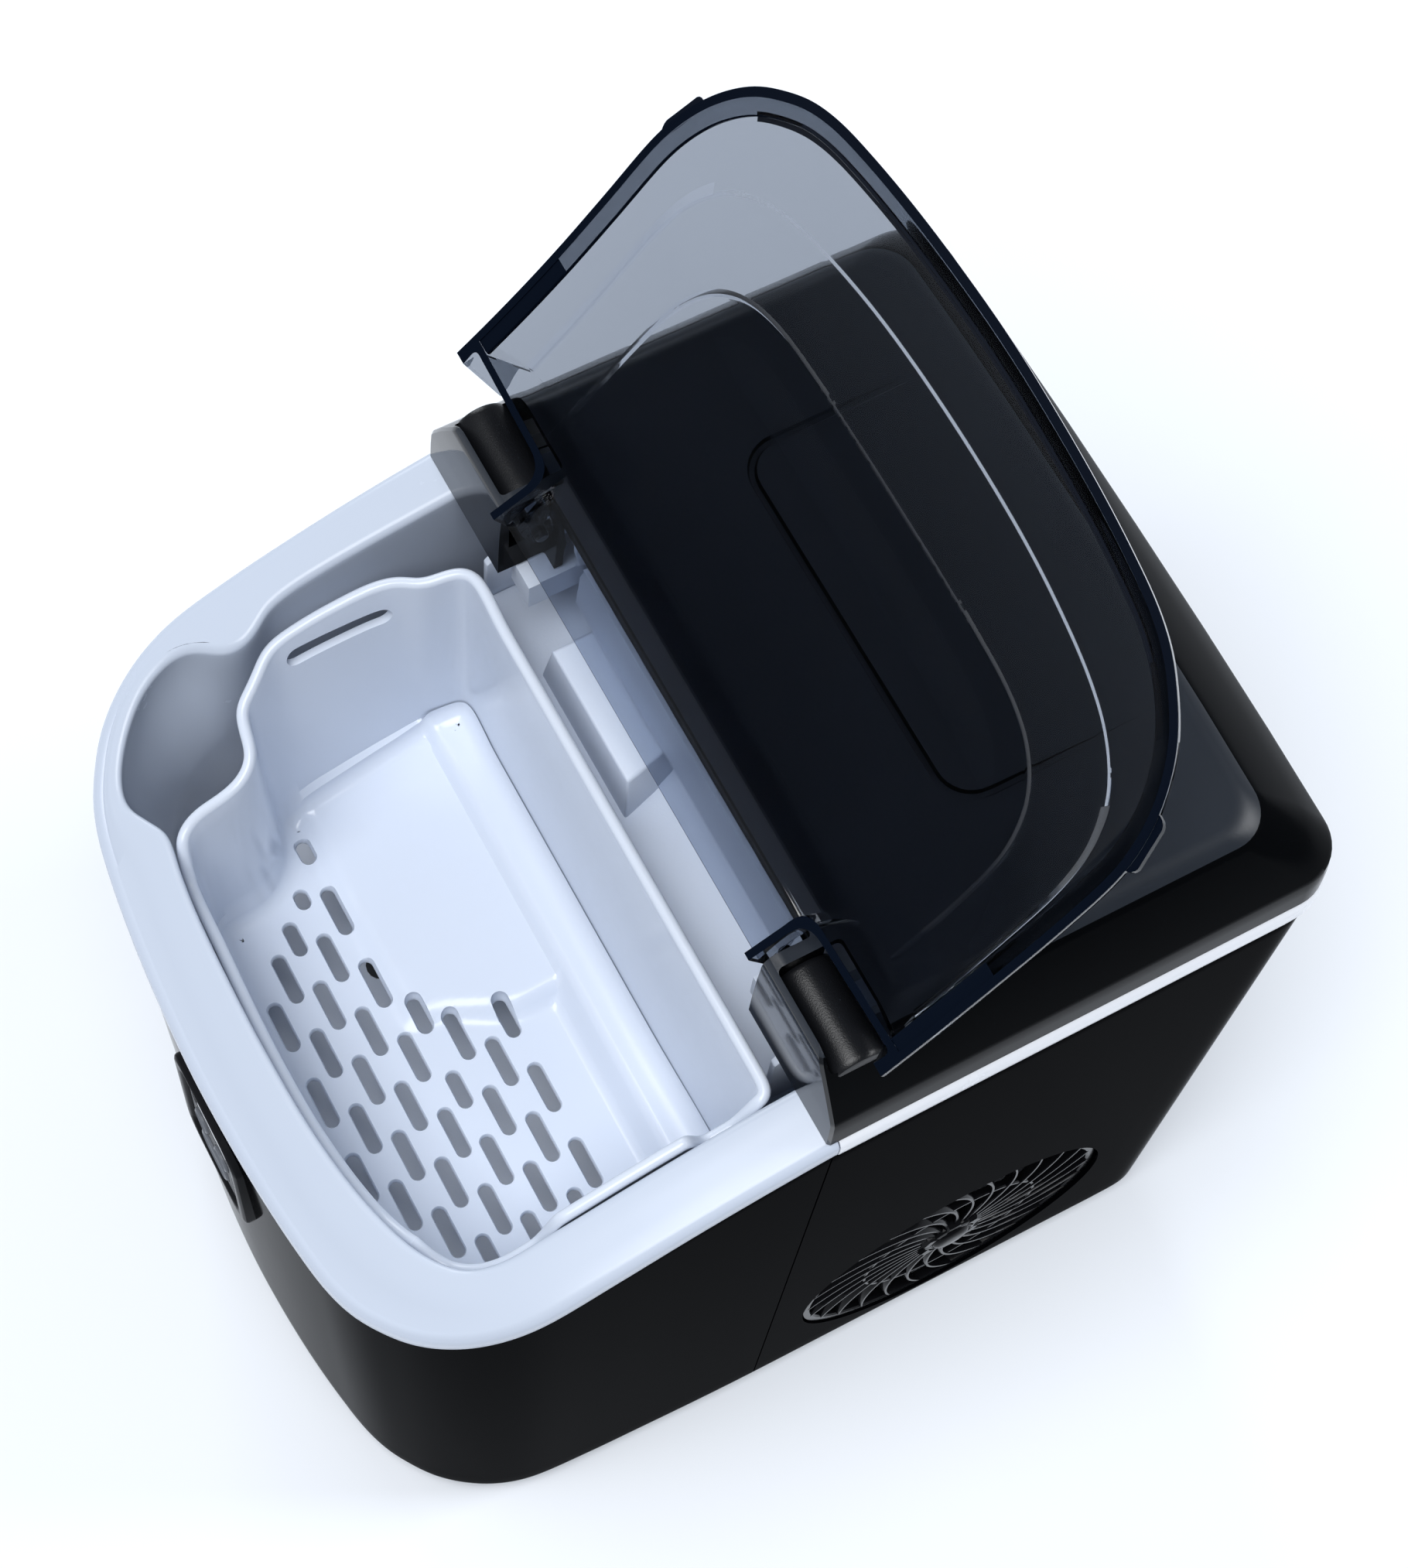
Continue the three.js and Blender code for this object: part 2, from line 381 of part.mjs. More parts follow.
// staggered drain slots in the floor
const slots = [];
for (let r = 0; r < 8; r++) {
  const y = -36.5 - r * 9.2;
  for (let c = 0; c < 8; c++) {
    const x = -57 + c * 19 + (r % 2) * 9.5;
    slots.push([x, y]);
  }
}
const slotOK = ([x, y]) => {
  if (x < -56 + (y < -76 ? 10 : 0) || x > 78 || (x > 66 && y < -88)) return false;
  if (y > -66 && x < 38) return false;
  if (y < -99) return false;
  return true;
};
for (const [x, y] of slots.filter(slotOK)) {
  basket = cut(basket, prismZ(roundRect(x - 7.4, x + 7.4, y - 2.1, y + 2.1, 2.05, 2), BASKET_FLOOR - 5, BASKET_FLOOR + 30));
}
part('ice_basket', basket, 'white');

// ---------------------------------------------------------------- ice-making section
let evaporator = block(-62, 62, 52, 64, -19, -11);
for (let i = 0; i < 9; i++) {
  evaporator = join(evaporator, turned([[0, -52], [2.6, -52], [4.4, -48], [4.4, -18], [0, -18]], 'z', -56 + i * 14, TRAY_Y, 0, 8));
}
evaporator = join(evaporator, block(-62, -54, 63, 78.6, -17, -13), block(54, 62, 63, 78.6, -17, -13));
part('evaporator', evaporator, 'alu');
const trough = [];
for (let i = 0; i <= 12; i++) { const a = Math.PI + Math.PI * i / 12; trough.push([TRAY_Y + TRAY_R * Math.cos(a), TRAY_Z + TRAY_R * Math.sin(a)]); }
const troughIn = [];
for (let i = 0; i <= 12; i++) { const a = Math.PI + Math.PI * i / 12; troughIn.push([TRAY_Y + (TRAY_R - 2) * Math.cos(a), TRAY_Z + (TRAY_R - 2) * Math.sin(a)]); }
let tray = cut(prismX(trough, -68, 68), prismX([...troughIn, [TRAY_Y + TRAY_R - 2, TRAY_Z + 5], [TRAY_Y - TRAY_R + 2, TRAY_Z + 5]], -66, 66));
tray = join(tray, rod('x', 3, 66.5, 74, 0, TRAY_Y, TRAY_Z - 4, 14), rod('x', 3, -74, -66.5, 0, TRAY_Y, TRAY_Z - 4, 14));
part('water_tray', tray, 'white');
part('tray_motor', cut(join(block(75, 91.8, 44, 72, -58, -26), rod('x', 7, 71, 76, 0, TRAY_Y, TRAY_Z - 4, 20)), rod('x', 3.35, 70, 80, 0, TRAY_Y, TRAY_Z - 4, 14)), 'satin');
part('tray_bearing', cut(join(block(-91.8, -80, 48, 68, -54, -34), rod('x', 7, -81, -71, 0, TRAY_Y, TRAY_Z - 4, 20)), rod('x', 3.35, -80, -70, 0, TRAY_Y, TRAY_Z - 4, 14)), 'white');
// ice chute between tray and basket, and the pusher that clears it
part('ice_chute', join(prismX([[0.5, -26.5], [33, -22], [33, -24.6], [2.6, -28.8], [2.6, -44], [0.5, -44]], -80, 80), block(-82, -79.6, 0.5, 33, -44, -14), block(79.6, 82, 0.5, 33, -44, -14)), 'white');
let pusher = cut(block(-60, 60, 18, 36, -18, -0.9), block(-57.6, 57.6, 20.4, 40, -16, 5));
for (let i = 0; i < 7; i++) pusher = join(pusher, block(-50 + i * 16, -46 + i * 16, 19, 30, -17, -0.9));
part('ice_pusher', pusher, 'white');
part('pusher_rail_left', block(-72, -62, 4, 46, -12, -1), 'grey');
part('pusher_rail_right', block(62, 72, 4, 46, -12, -1), 'grey');
part('ice_sensor_left', turned([[0, 0], [4.5, 0], [4.5, 1.4], [3, 3.4], [0, 3.4]], 'x', 0, 0, 0, 16), 'lens').position.set(-92.5, 7, -16);
part('ice_sensor_right', turned([[0, -3.4], [3, -3.4], [4.5, -1.4], [4.5, 0], [0, 0]], 'x', 0, 0, 0, 16), 'lens').position.set(92.4, 7, -16);

// ---------------------------------------------------------------- machine compartment
part('compressor', join(
  turned([[0, -254], [30, -254], [40, -246], [41, -205], [40, -196], [34, -178], [22, -170], [0, -168]], 'z', -48, 72, 0, 24),
  rod('z', 7, -262, -250, -76, 44, 0, 12), rod('z', 7, -262, -250, -20, 44, 0, 12), rod('z', 7, -262, -250, -76, 100, 0, 12), rod('z', 7, -262, -250, -20, 100, 0, 12),
  block(-83, -13, 37, 51, -255, -251), block(-83, -13, 93, 107, -255, -251)), 'satin');
let condenser = join(block(22, 46, 20, 22, -258, -158), block(22, 46, 112, 114, -258, -158));
condenser = join(condenser, block(22, 46, 20, 114, -160, -157), block(22, 46, 20, 114, -259, -256));
for (let i = 0; i < 14; i++) condenser = join(condenser, block(22.5, 45.5, 26.5 + i * 6.2, 27.7 + i * 6.2, -257, -159));
for (let i = 0; i < 4; i++) condenser = join(condenser, rod('y', 2.6, 14, 20.5, 34, 0, -238 + i * 20, 8));
part('condenser', condenser, 'alu');
part('fan_motor', join(rod('x', 17, 54, 80, 0, VENT_Y, VENT_Z, 20), rod('x', 2.4, 78, 96, 0, VENT_Y, VENT_Z, 12)), 'steel');
part('fan_bracket', join(cut(block(60, 70, VENT_Y - 19, VENT_Y + 19, -262, VENT_Z + 2), rod('x', 17.4, 50, 84, 0, VENT_Y, VENT_Z, 20)), block(56, 80, VENT_Y - 19, VENT_Y + 19, -262, -259.6)), 'grey');
let impeller = cut(turned([[0, -1], [13, -1], [13, 9], [10, 12.5], [0, 13]], 'x', 0, 0, 0, 24), rod('x', 2.75, -5, 8.6, 0, 0, 0, 12));
for (let i = 0; i < 7; i++) {
  const a = 2 * Math.PI * i / 7, c = Math.cos(a), s = Math.sin(a);
  const P = (r, w, x) => [x, r * c - w * s, r * s + w * c];
  impeller = join(impeller, hull([P(9, -4, 8.6), P(9, 4, 0.6), P(9, -4, 10.2), P(9, 4, 2.2), P(45, -15, 9.6), P(45, 13, -0.6), P(45, -15, 11), P(45, 13, 0.8), P(47.5, 0, 4.2), P(47.5, 0, 5.8)]));
}
impeller = cut(impeller, rod('x', 2.75, -5, 8.6, 0, 0, 0, 12));
part('fan_impeller', impeller, 'grey').position.set(88, VENT_Y, VENT_Z);
part('fan_shroud', cut(join(prismX(ring(52, 32, VENT_Y, VENT_Z), 84, 104), prismX(roundRect(VENT_Y - 54, VENT_Y + 54, -256, -149.5, 6, 3), 82, 84.4)), rod('x', 49.6, 70, 110, 0, VENT_Y, VENT_Z, 32)), 'satin');

// round vent grille: rim, hub, radial fins and two thin rings
let grille = cut(rod('x', VENT_R - 3.4, 104.6, 109.2, 0, VENT_Y, VENT_Z, 40), rod('x', VENT_R - 6.4, 100, 115, 0, VENT_Y, VENT_Z, 40));
grille = join(grille, turned([[0, 103], [9.5, 103], [9.5, 108.4], [7, 110], [0, 110.4]], 'x', 0, VENT_Y, VENT_Z, 24));
for (let i = 0; i < 20; i++) {
  const a = 2 * Math.PI * i / 20, c = Math.cos(a), s = Math.sin(a);
  const P = (r, w, x) => [x, VENT_Y + r * c - w * s, VENT_Z + r * s + w * c];
  const R1 = VENT_R - 5;
  grille = join(grille, hull([P(8, -0.7, 104.8), P(8, 0.7, 104.8), P(8, -0.7, 108), P(8, 0.7, 108), P(R1, 5.3, 104.8), P(R1, 6.7, 104.8), P(R1, 5.3, 108), P(R1, 6.7, 108)]));
}
part('side_vent_grille', grille, 'black');

// water pump under the tank with its inlet, and the drain line to the rear cap
part('water_pump', join(rod('z', 16, -186, -152, -30, -60, 0, 20), rod('z', 4.5, -153, -134, -30, -60, 0, 16), block(-50, -30, -64, -56, -170, -162)), 'white');
part('drain_tube', (() => {
  const path = new THREE.CatmullRomCurve3([V(62, 10, -134), V(62, 10, -147), V(64, 40, -152), V(66, 90, -152), V(66, 128, -158), V(64, 140, -195), V(62, 141, -228), V(62, 145, -237), V(62, 149, -238)], false, 'catmullrom', 0.5);
  const circle = new THREE.Shape(ring(4.2, 8).map(([x, y]) => new THREE.Vector2(x, y)));
  return solid(new THREE.ExtrudeGeometry(circle, { steps: 26, extrudePath: path, bevelEnabled: false }));
})(), 'grey');
part('drain_cap', turned([[0, -3], [7.6, -3], [7.6, 2.4], [9.6, 2.4], [9.6, 6.2], [8.6, 7.4], [0, 7.4]], 'y', 0, 0, 0, 24), 'black').position.set(62, 153.2, -238);
part('power_inlet', cut(join(prismY(roundRect(-83.5, -56.5, -243.5, -224.5, 3), 146, 155.4), prismY(roundRect(-87, -53, -247, -221, 4), 155.7, 157.3), prismY(roundRect(-83.5, -56.5, -243.5, -224.5, 3), 155.2, 156)),
  prismY(roundRect(-80, -60, -240.5, -227.5, 2.5), 149, 170)), 'black');
part('control_board', block(-26, 26, -119.4, -117.8, -152, -92), 'pcb');
part('power_board', join(block(-40, 60, 120, 144, -140, -137.6), block(-30, -10, 124, 140, -138, -122), block(4, 30, 126, 140, -138, -118), block(38, 50, 126, 138, -138, -128)), 'pcb');

// ---------------------------------------------------------------- front control panel
const bezelPlan = roundRect(-20.5, 20.5, -153.5, -90.5, 10, 5);
const sleevePlan = roundRect(-16.6, 16.6, -149.6, -94.4, 7.6, 4);
const sleeveIn = roundRect(-14.6, 14.6, -147.6, -96.4, 6, 4);
const shellGrown = hull([...bodyRing(0.85, 2), ...bodyRing(0.85, -258), ...bodyRing(4.65, BODY_BOTTOM)]);
let bezel = cut(prismY(bezelPlan, -132.4, -118, [sleeveIn]), shellGrown);
bezel = join(bezel, prismY(sleevePlan, -131, -122, [sleeveIn]));
part('panel_bezel', bezel, 'black');
let face = prismY(roundRect(-14.2, 14.2, -147.2, -96.8, 5.6, 4), -130.6, -128.4);
face = cut(face, prismY(roundRect(-11.4, 11.4, -112.4, -100.6, 2, 3), -140, -120), rod('y', 4.6, -140, -120, -6.4, 0, -121.5, 18), rod('y', 4.6, -140, -120, 6.4, 0, -121.5, 18),
  prismY(roundRect(-9, 9, -141.6, -130.4, 5.4, 4), -140, -120));
part('panel_face', face, 'grey');
part('display_window', prismY(roundRect(-11, 11, -112, -101, 1.8, 3), -131, -128.8), 'lens');
const button = (name, x, z, man) => { const m = part(name, man, 'satin'); m.position.set(x, 0, z); };
const round = () => turned([[0, -131.8], [3.6, -131.8], [4.2, -131.2], [4.2, -127], [0, -127]], 'y', 0, 0, 0, 18);
button('power_button', -6.4, -121.5, round());
button('size_button', 6.4, -121.5, round());
button('clean_button', 0, -136, prismY(roundRect(-8.6, 8.6, -5.2, 5.2, 5, 4), -131.9, -127));

export default group;
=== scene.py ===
# Countertop ice maker, lid open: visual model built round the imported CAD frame.
import bpy, bmesh, math
import numpy as np
from mathutils import Vector, Matrix


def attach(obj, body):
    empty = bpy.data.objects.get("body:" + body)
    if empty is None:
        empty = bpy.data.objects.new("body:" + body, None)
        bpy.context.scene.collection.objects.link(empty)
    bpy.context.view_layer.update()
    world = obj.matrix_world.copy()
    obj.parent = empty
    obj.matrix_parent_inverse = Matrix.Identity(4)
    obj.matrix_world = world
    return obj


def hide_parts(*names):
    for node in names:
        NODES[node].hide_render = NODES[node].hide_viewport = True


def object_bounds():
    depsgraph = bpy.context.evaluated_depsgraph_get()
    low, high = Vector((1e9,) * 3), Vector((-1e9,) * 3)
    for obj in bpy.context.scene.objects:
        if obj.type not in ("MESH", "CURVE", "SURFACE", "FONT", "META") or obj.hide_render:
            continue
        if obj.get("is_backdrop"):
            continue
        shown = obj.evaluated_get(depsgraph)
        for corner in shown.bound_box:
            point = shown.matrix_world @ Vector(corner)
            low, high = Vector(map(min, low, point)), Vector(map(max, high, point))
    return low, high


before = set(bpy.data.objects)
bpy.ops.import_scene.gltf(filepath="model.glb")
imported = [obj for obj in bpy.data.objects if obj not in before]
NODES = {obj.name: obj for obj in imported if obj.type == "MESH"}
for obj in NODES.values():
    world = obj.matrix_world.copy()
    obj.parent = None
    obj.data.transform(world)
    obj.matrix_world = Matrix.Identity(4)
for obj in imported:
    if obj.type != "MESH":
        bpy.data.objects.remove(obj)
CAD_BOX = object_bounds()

scene = bpy.context.scene

# ------------------------------------------------------------------ frame: design millimetres -> metres
SHIFT = np.array([0.0, -14.1, 272.0])
def T(p):
    return (np.asarray(p, float) + SHIFT) / 1000.0

# ------------------------------------------------------------------ camera at the photograph's view
def make_camera():
    az, el, roll = math.radians(52.94), math.radians(66.23), math.radians(9.18)
    target = T([9.59, 18.21, 0.0])
    back = np.array([math.sin(az) * math.cos(el), -math.cos(az) * math.cos(el), math.sin(el)])
    fwd = -back
    right = np.cross(fwd, [0, 0, 1]); right /= np.linalg.norm(right)
    up = np.cross(right, fwd)
    r = math.cos(roll) * right + math.sin(roll) * up
    u = -math.sin(roll) * right + math.cos(roll) * up
    cam = bpy.data.cameras.new("photo_camera")
    cam.sensor_fit = "AUTO"
    cam.sensor_width = 36.0
    cam.lens = 36.0 * 4113.61 / 2027.0
    cam.clip_start, cam.clip_end = 0.05, 20.0
    o = bpy.data.objects.new("photo_camera", cam)
    scene.collection.objects.link(o)
    m = Matrix(((r[0], u[0], back[0]), (r[1], u[1], back[1]), (r[2], u[2], back[2]))).to_4x4()
    m.translation = Vector(target + back * 0.8297)
    o.matrix_world = m
    scene.camera = o
make_camera()

# ------------------------------------------------------------------ lights, floor, world
def area_light(name, loc, aim, size, power, colour=(1, 1, 1), size_y=None, spread=180):
    l = bpy.data.lights.new(name, "AREA")
    l.energy, l.size, l.color = power, size, colour
    if size_y:
        l.shape, l.size_y = "RECTANGLE", size_y
    l.spread = math.radians(spread)
    o = bpy.data.objects.new(name, l)
    o.location = loc
    o.rotation_mode = "QUATERNION"
    o.rotation_quaternion = (Vector(aim) - Vector(loc)).to_track_quat("-Z", "Y")
    scene.collection.objects.link(o)
    return o
area_light("key_back", (0.9, 2.5, 2.0), (0, 0, 0.25), 1.2, 42, (0.96, 0.98, 1.0), 1.2)
area_light("fill_left", (-2.6, 0.15, 1.4), (0, -0.02, 0.2), 1.3, 28, (0.92, 0.96, 1.0), 1.3)
area_light("top_soft", (0.35, -0.95, 2.8), (0, 0, 0.25), 1.8, 86, (0.98, 0.99, 1), 1.8)

scene.view_settings.view_transform = "Standard"
scene.view_settings.look = "None"
world = bpy.data.worlds.new("studio")
scene.world = world
world.use_nodes = True
world.node_tree.nodes["Background"].inputs["Color"].default_value = (0.80, 0.86, 0.95, 1)
world.node_tree.nodes["Background"].inputs["Strength"].default_value = 0.22

def node_material(name):
    m = bpy.data.materials.new(name)
    m.use_nodes = True
    nt = m.node_tree
    bsdf = nt.nodes["Principled BSDF"]
    return m, nt, bsdf

def noise(nt, scale, detail=3.0, rough=0.5, coord=None):
    n = nt.nodes.new("ShaderNodeTexNoise")
    n.inputs["Scale"].default_value = scale
    n.inputs["Detail"].default_value = detail
    n.inputs["Roughness"].default_value = rough
    nt.links.new(coord, n.inputs["Vector"])
    return n

def plastic(name, colour, rough=0.25, vary=0.03, grain=0.0, grain_scale=900.0, orange=0.02, orange_scale=60.0,
            metallic=0.0, coat=0.0, coat_rough=0.05, ior=1.46, spec=0.5, rough_vary=0.05, smudge=8.0, alpha=None, trans=0.0):
    """Moulded plastic or metal: broad colour drift, smudges in the roughness, moulding ripple and fine grain in the bump."""
    m, nt, b = node_material(name)
    tc = nt.nodes.new("ShaderNodeTexCoord").outputs["Object"]
    drift = noise(nt, smudge, 4.0, 0.55, tc)
    mix = nt.nodes.new("ShaderNodeMix"); mix.data_type = "RGBA"
    c = np.array(colour[:3])
    mix.inputs[6].default_value = (*np.clip(c * (1 - vary), 0, 1), 1)
    mix.inputs[7].default_value = (*np.clip(c * (1 + vary), 0, 1), 1)
    nt.links.new(drift.outputs["Fac"], mix.inputs[0])
    nt.links.new(mix.outputs[2], b.inputs["Base Color"])
    rn = noise(nt, smudge * 3.1, 5.0, 0.6, tc)
    mr = nt.nodes.new("ShaderNodeMapRange")
    mr.inputs["From Min"].default_value, mr.inputs["From Max"].default_value = 0.3, 0.7
    mr.inputs["To Min"].default_value, mr.inputs["To Max"].default_value = max(0.02, rough - rough_vary), rough + rough_vary
    nt.links.new(rn.outputs["Fac"], mr.inputs["Value"])
    nt.links.new(mr.outputs["Result"], b.inputs["Roughness"])
    last = None
    for sc, amt, dist in ((orange_scale, orange, 0.0006), (grain_scale, grain, 0.00012)):
        if amt <= 0:
            continue
        bn = noise(nt, sc, 2.0, 0.5, tc)
        bump = nt.nodes.new("ShaderNodeBump")
        bump.inputs["Strength"].default_value = amt
        bump.inputs["Distance"].default_value = dist
        nt.links.new(bn.outputs["Fac"], bump.inputs["Height"])
        if last:
            nt.links.new(last, bump.inputs["Normal"])
        last = bump.outputs["Normal"]
    if last:
        nt.links.new(last, b.inputs["Normal"])
    b.inputs["Metallic"].default_value = metallic
    b.inputs["IOR"].default_value = ior
    b.inputs["Specular IOR Level"].default_value = spec
    b.inputs["Coat Weight"].default_value = coat
    b.inputs["Coat Roughness"].default_value = coat_rough
    b.inputs["Transmission Weight"].default_value = trans
    return m

MAT = {
    "white": plastic("white_gloss_plastic", (0.50, 0.555, 0.655), 0.24, 0.012, 0.04, 1400, 0.015, 45, ior=1.38),
    "basket": plastic("basket_white_plastic", (0.60, 0.655, 0.755), 0.2, 0.01, 0.03, 1400, 0.015, 40, ior=1.42),
    "trim": plastic("trim_white_plastic", (0.80, 0.82, 0.87), 0.25, 0.015, 0.05, 1400, 0.02, 45, coat=0.3, coat_rough=0.1),
    "shell": plastic("piano_black_plastic", (0.0009, 0.0010, 0.0014), 0.06, 0.25, 0.0, 900, 0.010, 40, ior=1.009, rough_vary=0.015),
    "cover": plastic("satin_black_plastic", (0.0150, 0.0190, 0.0265), 0.36, 0.12, 0.14, 2200, 0.004, 30, ior=1.40, rough_vary=0.02),
    "hinge": plastic("hinge_black_plastic", (0.006, 0.0065, 0.008), 0.3, 0.15, 0.4, 2600, 0.01, 40, ior=1.36, rough_vary=0.03),
    "smoke": plastic("smoke_clear_plastic", (0.31, 0.335, 0.375), 0.01, 0.03, 0.0, 900, 0.0, 20, trans=1.0, ior=1.10, spec=0.5, rough_vary=0.0),
    "rubber": plastic("foot_rubber", (0.02, 0.02, 0.02), 0.8, 0.3, 0.6, 1500, 0.1, 200),
    "steel": plastic("plated_steel", (0.60, 0.60, 0.62), 0.32, 0.08, 0.3, 1600, 0.05, 120, metallic=1.0),
    "chrome": plastic("nickel_plated", (0.72, 0.71, 0.69), 0.16, 0.05, 0.1, 1200, 0.08, 120, metallic=1.0),
    "alu": plastic("bare_aluminium", (0.74, 0.75, 0.76), 0.38, 0.08, 0.5, 1800, 0.1, 150, metallic=1.0),
    "inner": plastic("inner_white_plastic", (0.60, 0.66, 0.77), 0.45, 0.03, 0.3, 1500, 0.03, 60),
    "grey": plastic("grey_plastic", (0.30, 0.32, 0.35), 0.4, 0.06, 0.3, 1500, 0.03, 60),
    "dark": plastic("dark_plastic", (0.025, 0.026, 0.028), 0.4, 0.2, 0.4, 1500, 0.04, 60),
    "vent": plastic("vent_dark_plastic", (0.03, 0.032, 0.036), 0.28, 0.2, 0.1, 1500, 0.04, 60, coat=0.2),
    "enamel": plastic("black_enamel", (0.015, 0.015, 0.016), 0.22, 0.2, 0.3, 700, 0.2, 90, coat=0.5),
    "silver": plastic("silver_satin", (0.42, 0.43, 0.45), 0.3, 0.05, 0.4, 2200, 0.02, 60, metallic=0.7),
    "panel": plastic("panel_grey", (0.28, 0.30, 0.33), 0.28, 0.05, 0.2, 1800, 0.02, 60, coat=0.3),
    "display": plastic("display_window", (0.012, 0.016, 0.02), 0.06, 0.3, 0.0, 900, 0.01, 60, coat=0.8),
    "button": plastic("button_silver", (0.55, 0.57, 0.60), 0.25, 0.04, 0.2, 1800, 0.02, 60, coat=0.3),
    "sensor": plastic("sensor_dark", (0.03, 0.015, 0.03), 0.1, 0.2, 0.0, 900, 0.02, 60, coat=0.5),
    "hose": plastic("silicone_hose", (0.62, 0.64, 0.64), 0.5, 0.04, 0.2, 1200, 0.05, 90),
    "board": plastic("circuit_board", (0.02, 0.13, 0.05), 0.4, 0.15, 0.6, 500, 0.1, 200),
}
NODE_MAT = {
    "front_shell": "shell", "rear_shell": "shell", "base_pan": "dark", "deck_and_tank": "white", "rear_trim_band": "trim",
    "rear_cover": "cover", "lid": "smoke", "ice_basket": "basket", "hinge_pin_left": "hinge", "hinge_pin_right": "hinge",
    "evaporator": "chrome", "water_tray": "grey", "tray_motor": "steel", "tray_bearing": "inner", "ice_chute": "inner",
    "ice_pusher": "inner", "pusher_rail_left": "inner", "pusher_rail_right": "inner", "ice_sensor_left": "sensor",
    "ice_sensor_right": "sensor", "compressor": "enamel", "condenser": "alu", "fan_motor": "steel", "fan_bracket": "steel",
    "fan_impeller": "dark", "fan_shroud": "dark", "side_vent_grille": "vent", "water_pump": "dark", "drain_tube": "hose",
    "drain_cap": "rubber", "power_inlet": "dark", "control_board": "board", "power_board": "board", "panel_bezel": "silver",
    "panel_face": "panel", "display_window": "display", "power_button": "button", "size_button": "button", "clean_button": "button",
}
for name, o in NODES.items():
    key = NODE_MAT.get(name) or ("rubber" if name.startswith("foot") else "steel")
    o.data.materials.clear()
    o.data.materials.append(MAT[key])

def make_floor():
    m, nt, b = node_material("studio_floor")
    tc = nt.nodes.new("ShaderNodeTexCoord").outputs["Object"]
    n = noise(nt, 3.0, 3.0, 0.5, tc)
    mix = nt.nodes.new("ShaderNodeMix"); mix.data_type = "RGBA"
    mix.inputs[6].default_value = (0.82, 0.85, 0.90, 1)
    mix.inputs[7].default_value = (0.85, 0.88, 0.93, 1)
    nt.links.new(n.outputs["Fac"], mix.inputs[0])
    nt.links.new(mix.outputs[2], b.inputs["Base Color"])
    b.inputs["Roughness"].default_value = 0.9
    b.inputs["Specular IOR Level"].default_value = 0.1
    me = bpy.data.meshes.new("floor")
    s = 6.0
    me.from_pydata([(-s, -s, -0.0005), (s, -s, -0.0005), (s, s, -0.0005), (-s, s, -0.0005)], [], [(0, 1, 2, 3)])
    me.materials.append(m)
    o = bpy.data.objects.new("floor", me)
    scene.collection.objects.link(o)
    o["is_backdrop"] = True
make_floor()

# ------------------------------------------------------------------ mesh helpers (design millimetres)
def deck_z(y):
    y = np.asarray(y, float)
    return np.where(y < 0, 0.22 * y - 0.0016 * y * y, 0.0)

def catmull(pts, per=14, closed=True):
    P = np.array(pts, float); n = len(P); out = []
    for i in range(n if closed else n - 1):
        p1, p2 = P[i], P[(i + 1) % n]
        p0 = P[(i - 1) % n] if closed or i > 0 else 2 * p1 - p2
        p3 = P[(i + 2) % n] if closed or i + 2 < n else 2 * p2 - p1
        t1 = max(np.linalg.norm(p1 - p0), 1e-6) ** 0.5
        t2 = t1 + max(np.linalg.norm(p2 - p1), 1e-6) ** 0.5
        t3 = t2 + max(np.linalg.norm(p3 - p2), 1e-6) ** 0.5
        t = np.linspace(t1, t2, per, endpoint=False)[:, None]
        a1 = (t1 - t) / t1 * p0 + t / t1 * p1
        a2 = (t2 - t) / (t2 - t1) * p1 + (t - t1) / (t2 - t1) * p2
        a3 = (t3 - t) / (t3 - t2) * p2 + (t - t2) / (t3 - t2) * p3
        b1 = (t2 - t) / t2 * a1 + t / t2 * a2
        b2 = (t3 - t) / (t3 - t1) * a2 + (t - t1) / (t3 - t1) * a3
        out.append((t2 - t) / (t2 - t1) * b1 + (t - t1) / (t2 - t1) * b2)
    if not closed:
        out.append(P[-1:])
    return np.concatenate(out)

def resample(curve, n, closed=True):
    c = np.concatenate([curve, curve[:1]]) if closed else np.asarray(curve)
    s = np.concatenate([[0], np.cumsum(np.linalg.norm(np.diff(c, axis=0), axis=1))])
    t = np.linspace(0, s[-1], n, endpoint=not closed)
    return np.stack([np.interp(t, s, c[:, k]) for k in range(c.shape[1])], 1)

def soften(curve, sigma, closed=True):
    n = len(curve); w = int(3 * sigma) + 1
    k = np.exp(-0.5 * (np.arange(-w, w + 1) / sigma) ** 2); k /= k.sum()
    if closed:
        ext = np.concatenate([curve[-w:], curve, curve[:w]])
    else:
        ext = np.concatenate([2 * curve[0] - curve[w:0:-1], curve, 2 * curve[-1] - curve[-2:-w - 2:-1]])
    return np.stack([np.convolve(ext[:, j], k, "valid") for j in range(curve.shape[1])], 1)

def normals2(curve, closed=True):
    """unit normal to the left of travel"""
    if closed:
        t = np.roll(curve, -1, 0) - np.roll(curve, 1, 0)
    else:
        t = np.gradient(curve, axis=0)
    t = t[:, :2] / np.maximum(np.linalg.norm(t[:, :2], axis=1), 1e-9)[:, None]
    return np.stack([-t[:, 1], t[:, 0]], 1)

def clockwise(pts):
    p = np.array(pts, float); x, y = p[:, 0], p[:, 1]
    a = np.sum(x * np.roll(y, -1) - np.roll(x, -1) * y)
    return p[::-1] if a > 0 else p

def outline(pts, n, sigma=0.0):
    c = resample(catmull(clockwise(pts)), n)
    return soften(c, sigma) if sigma else c

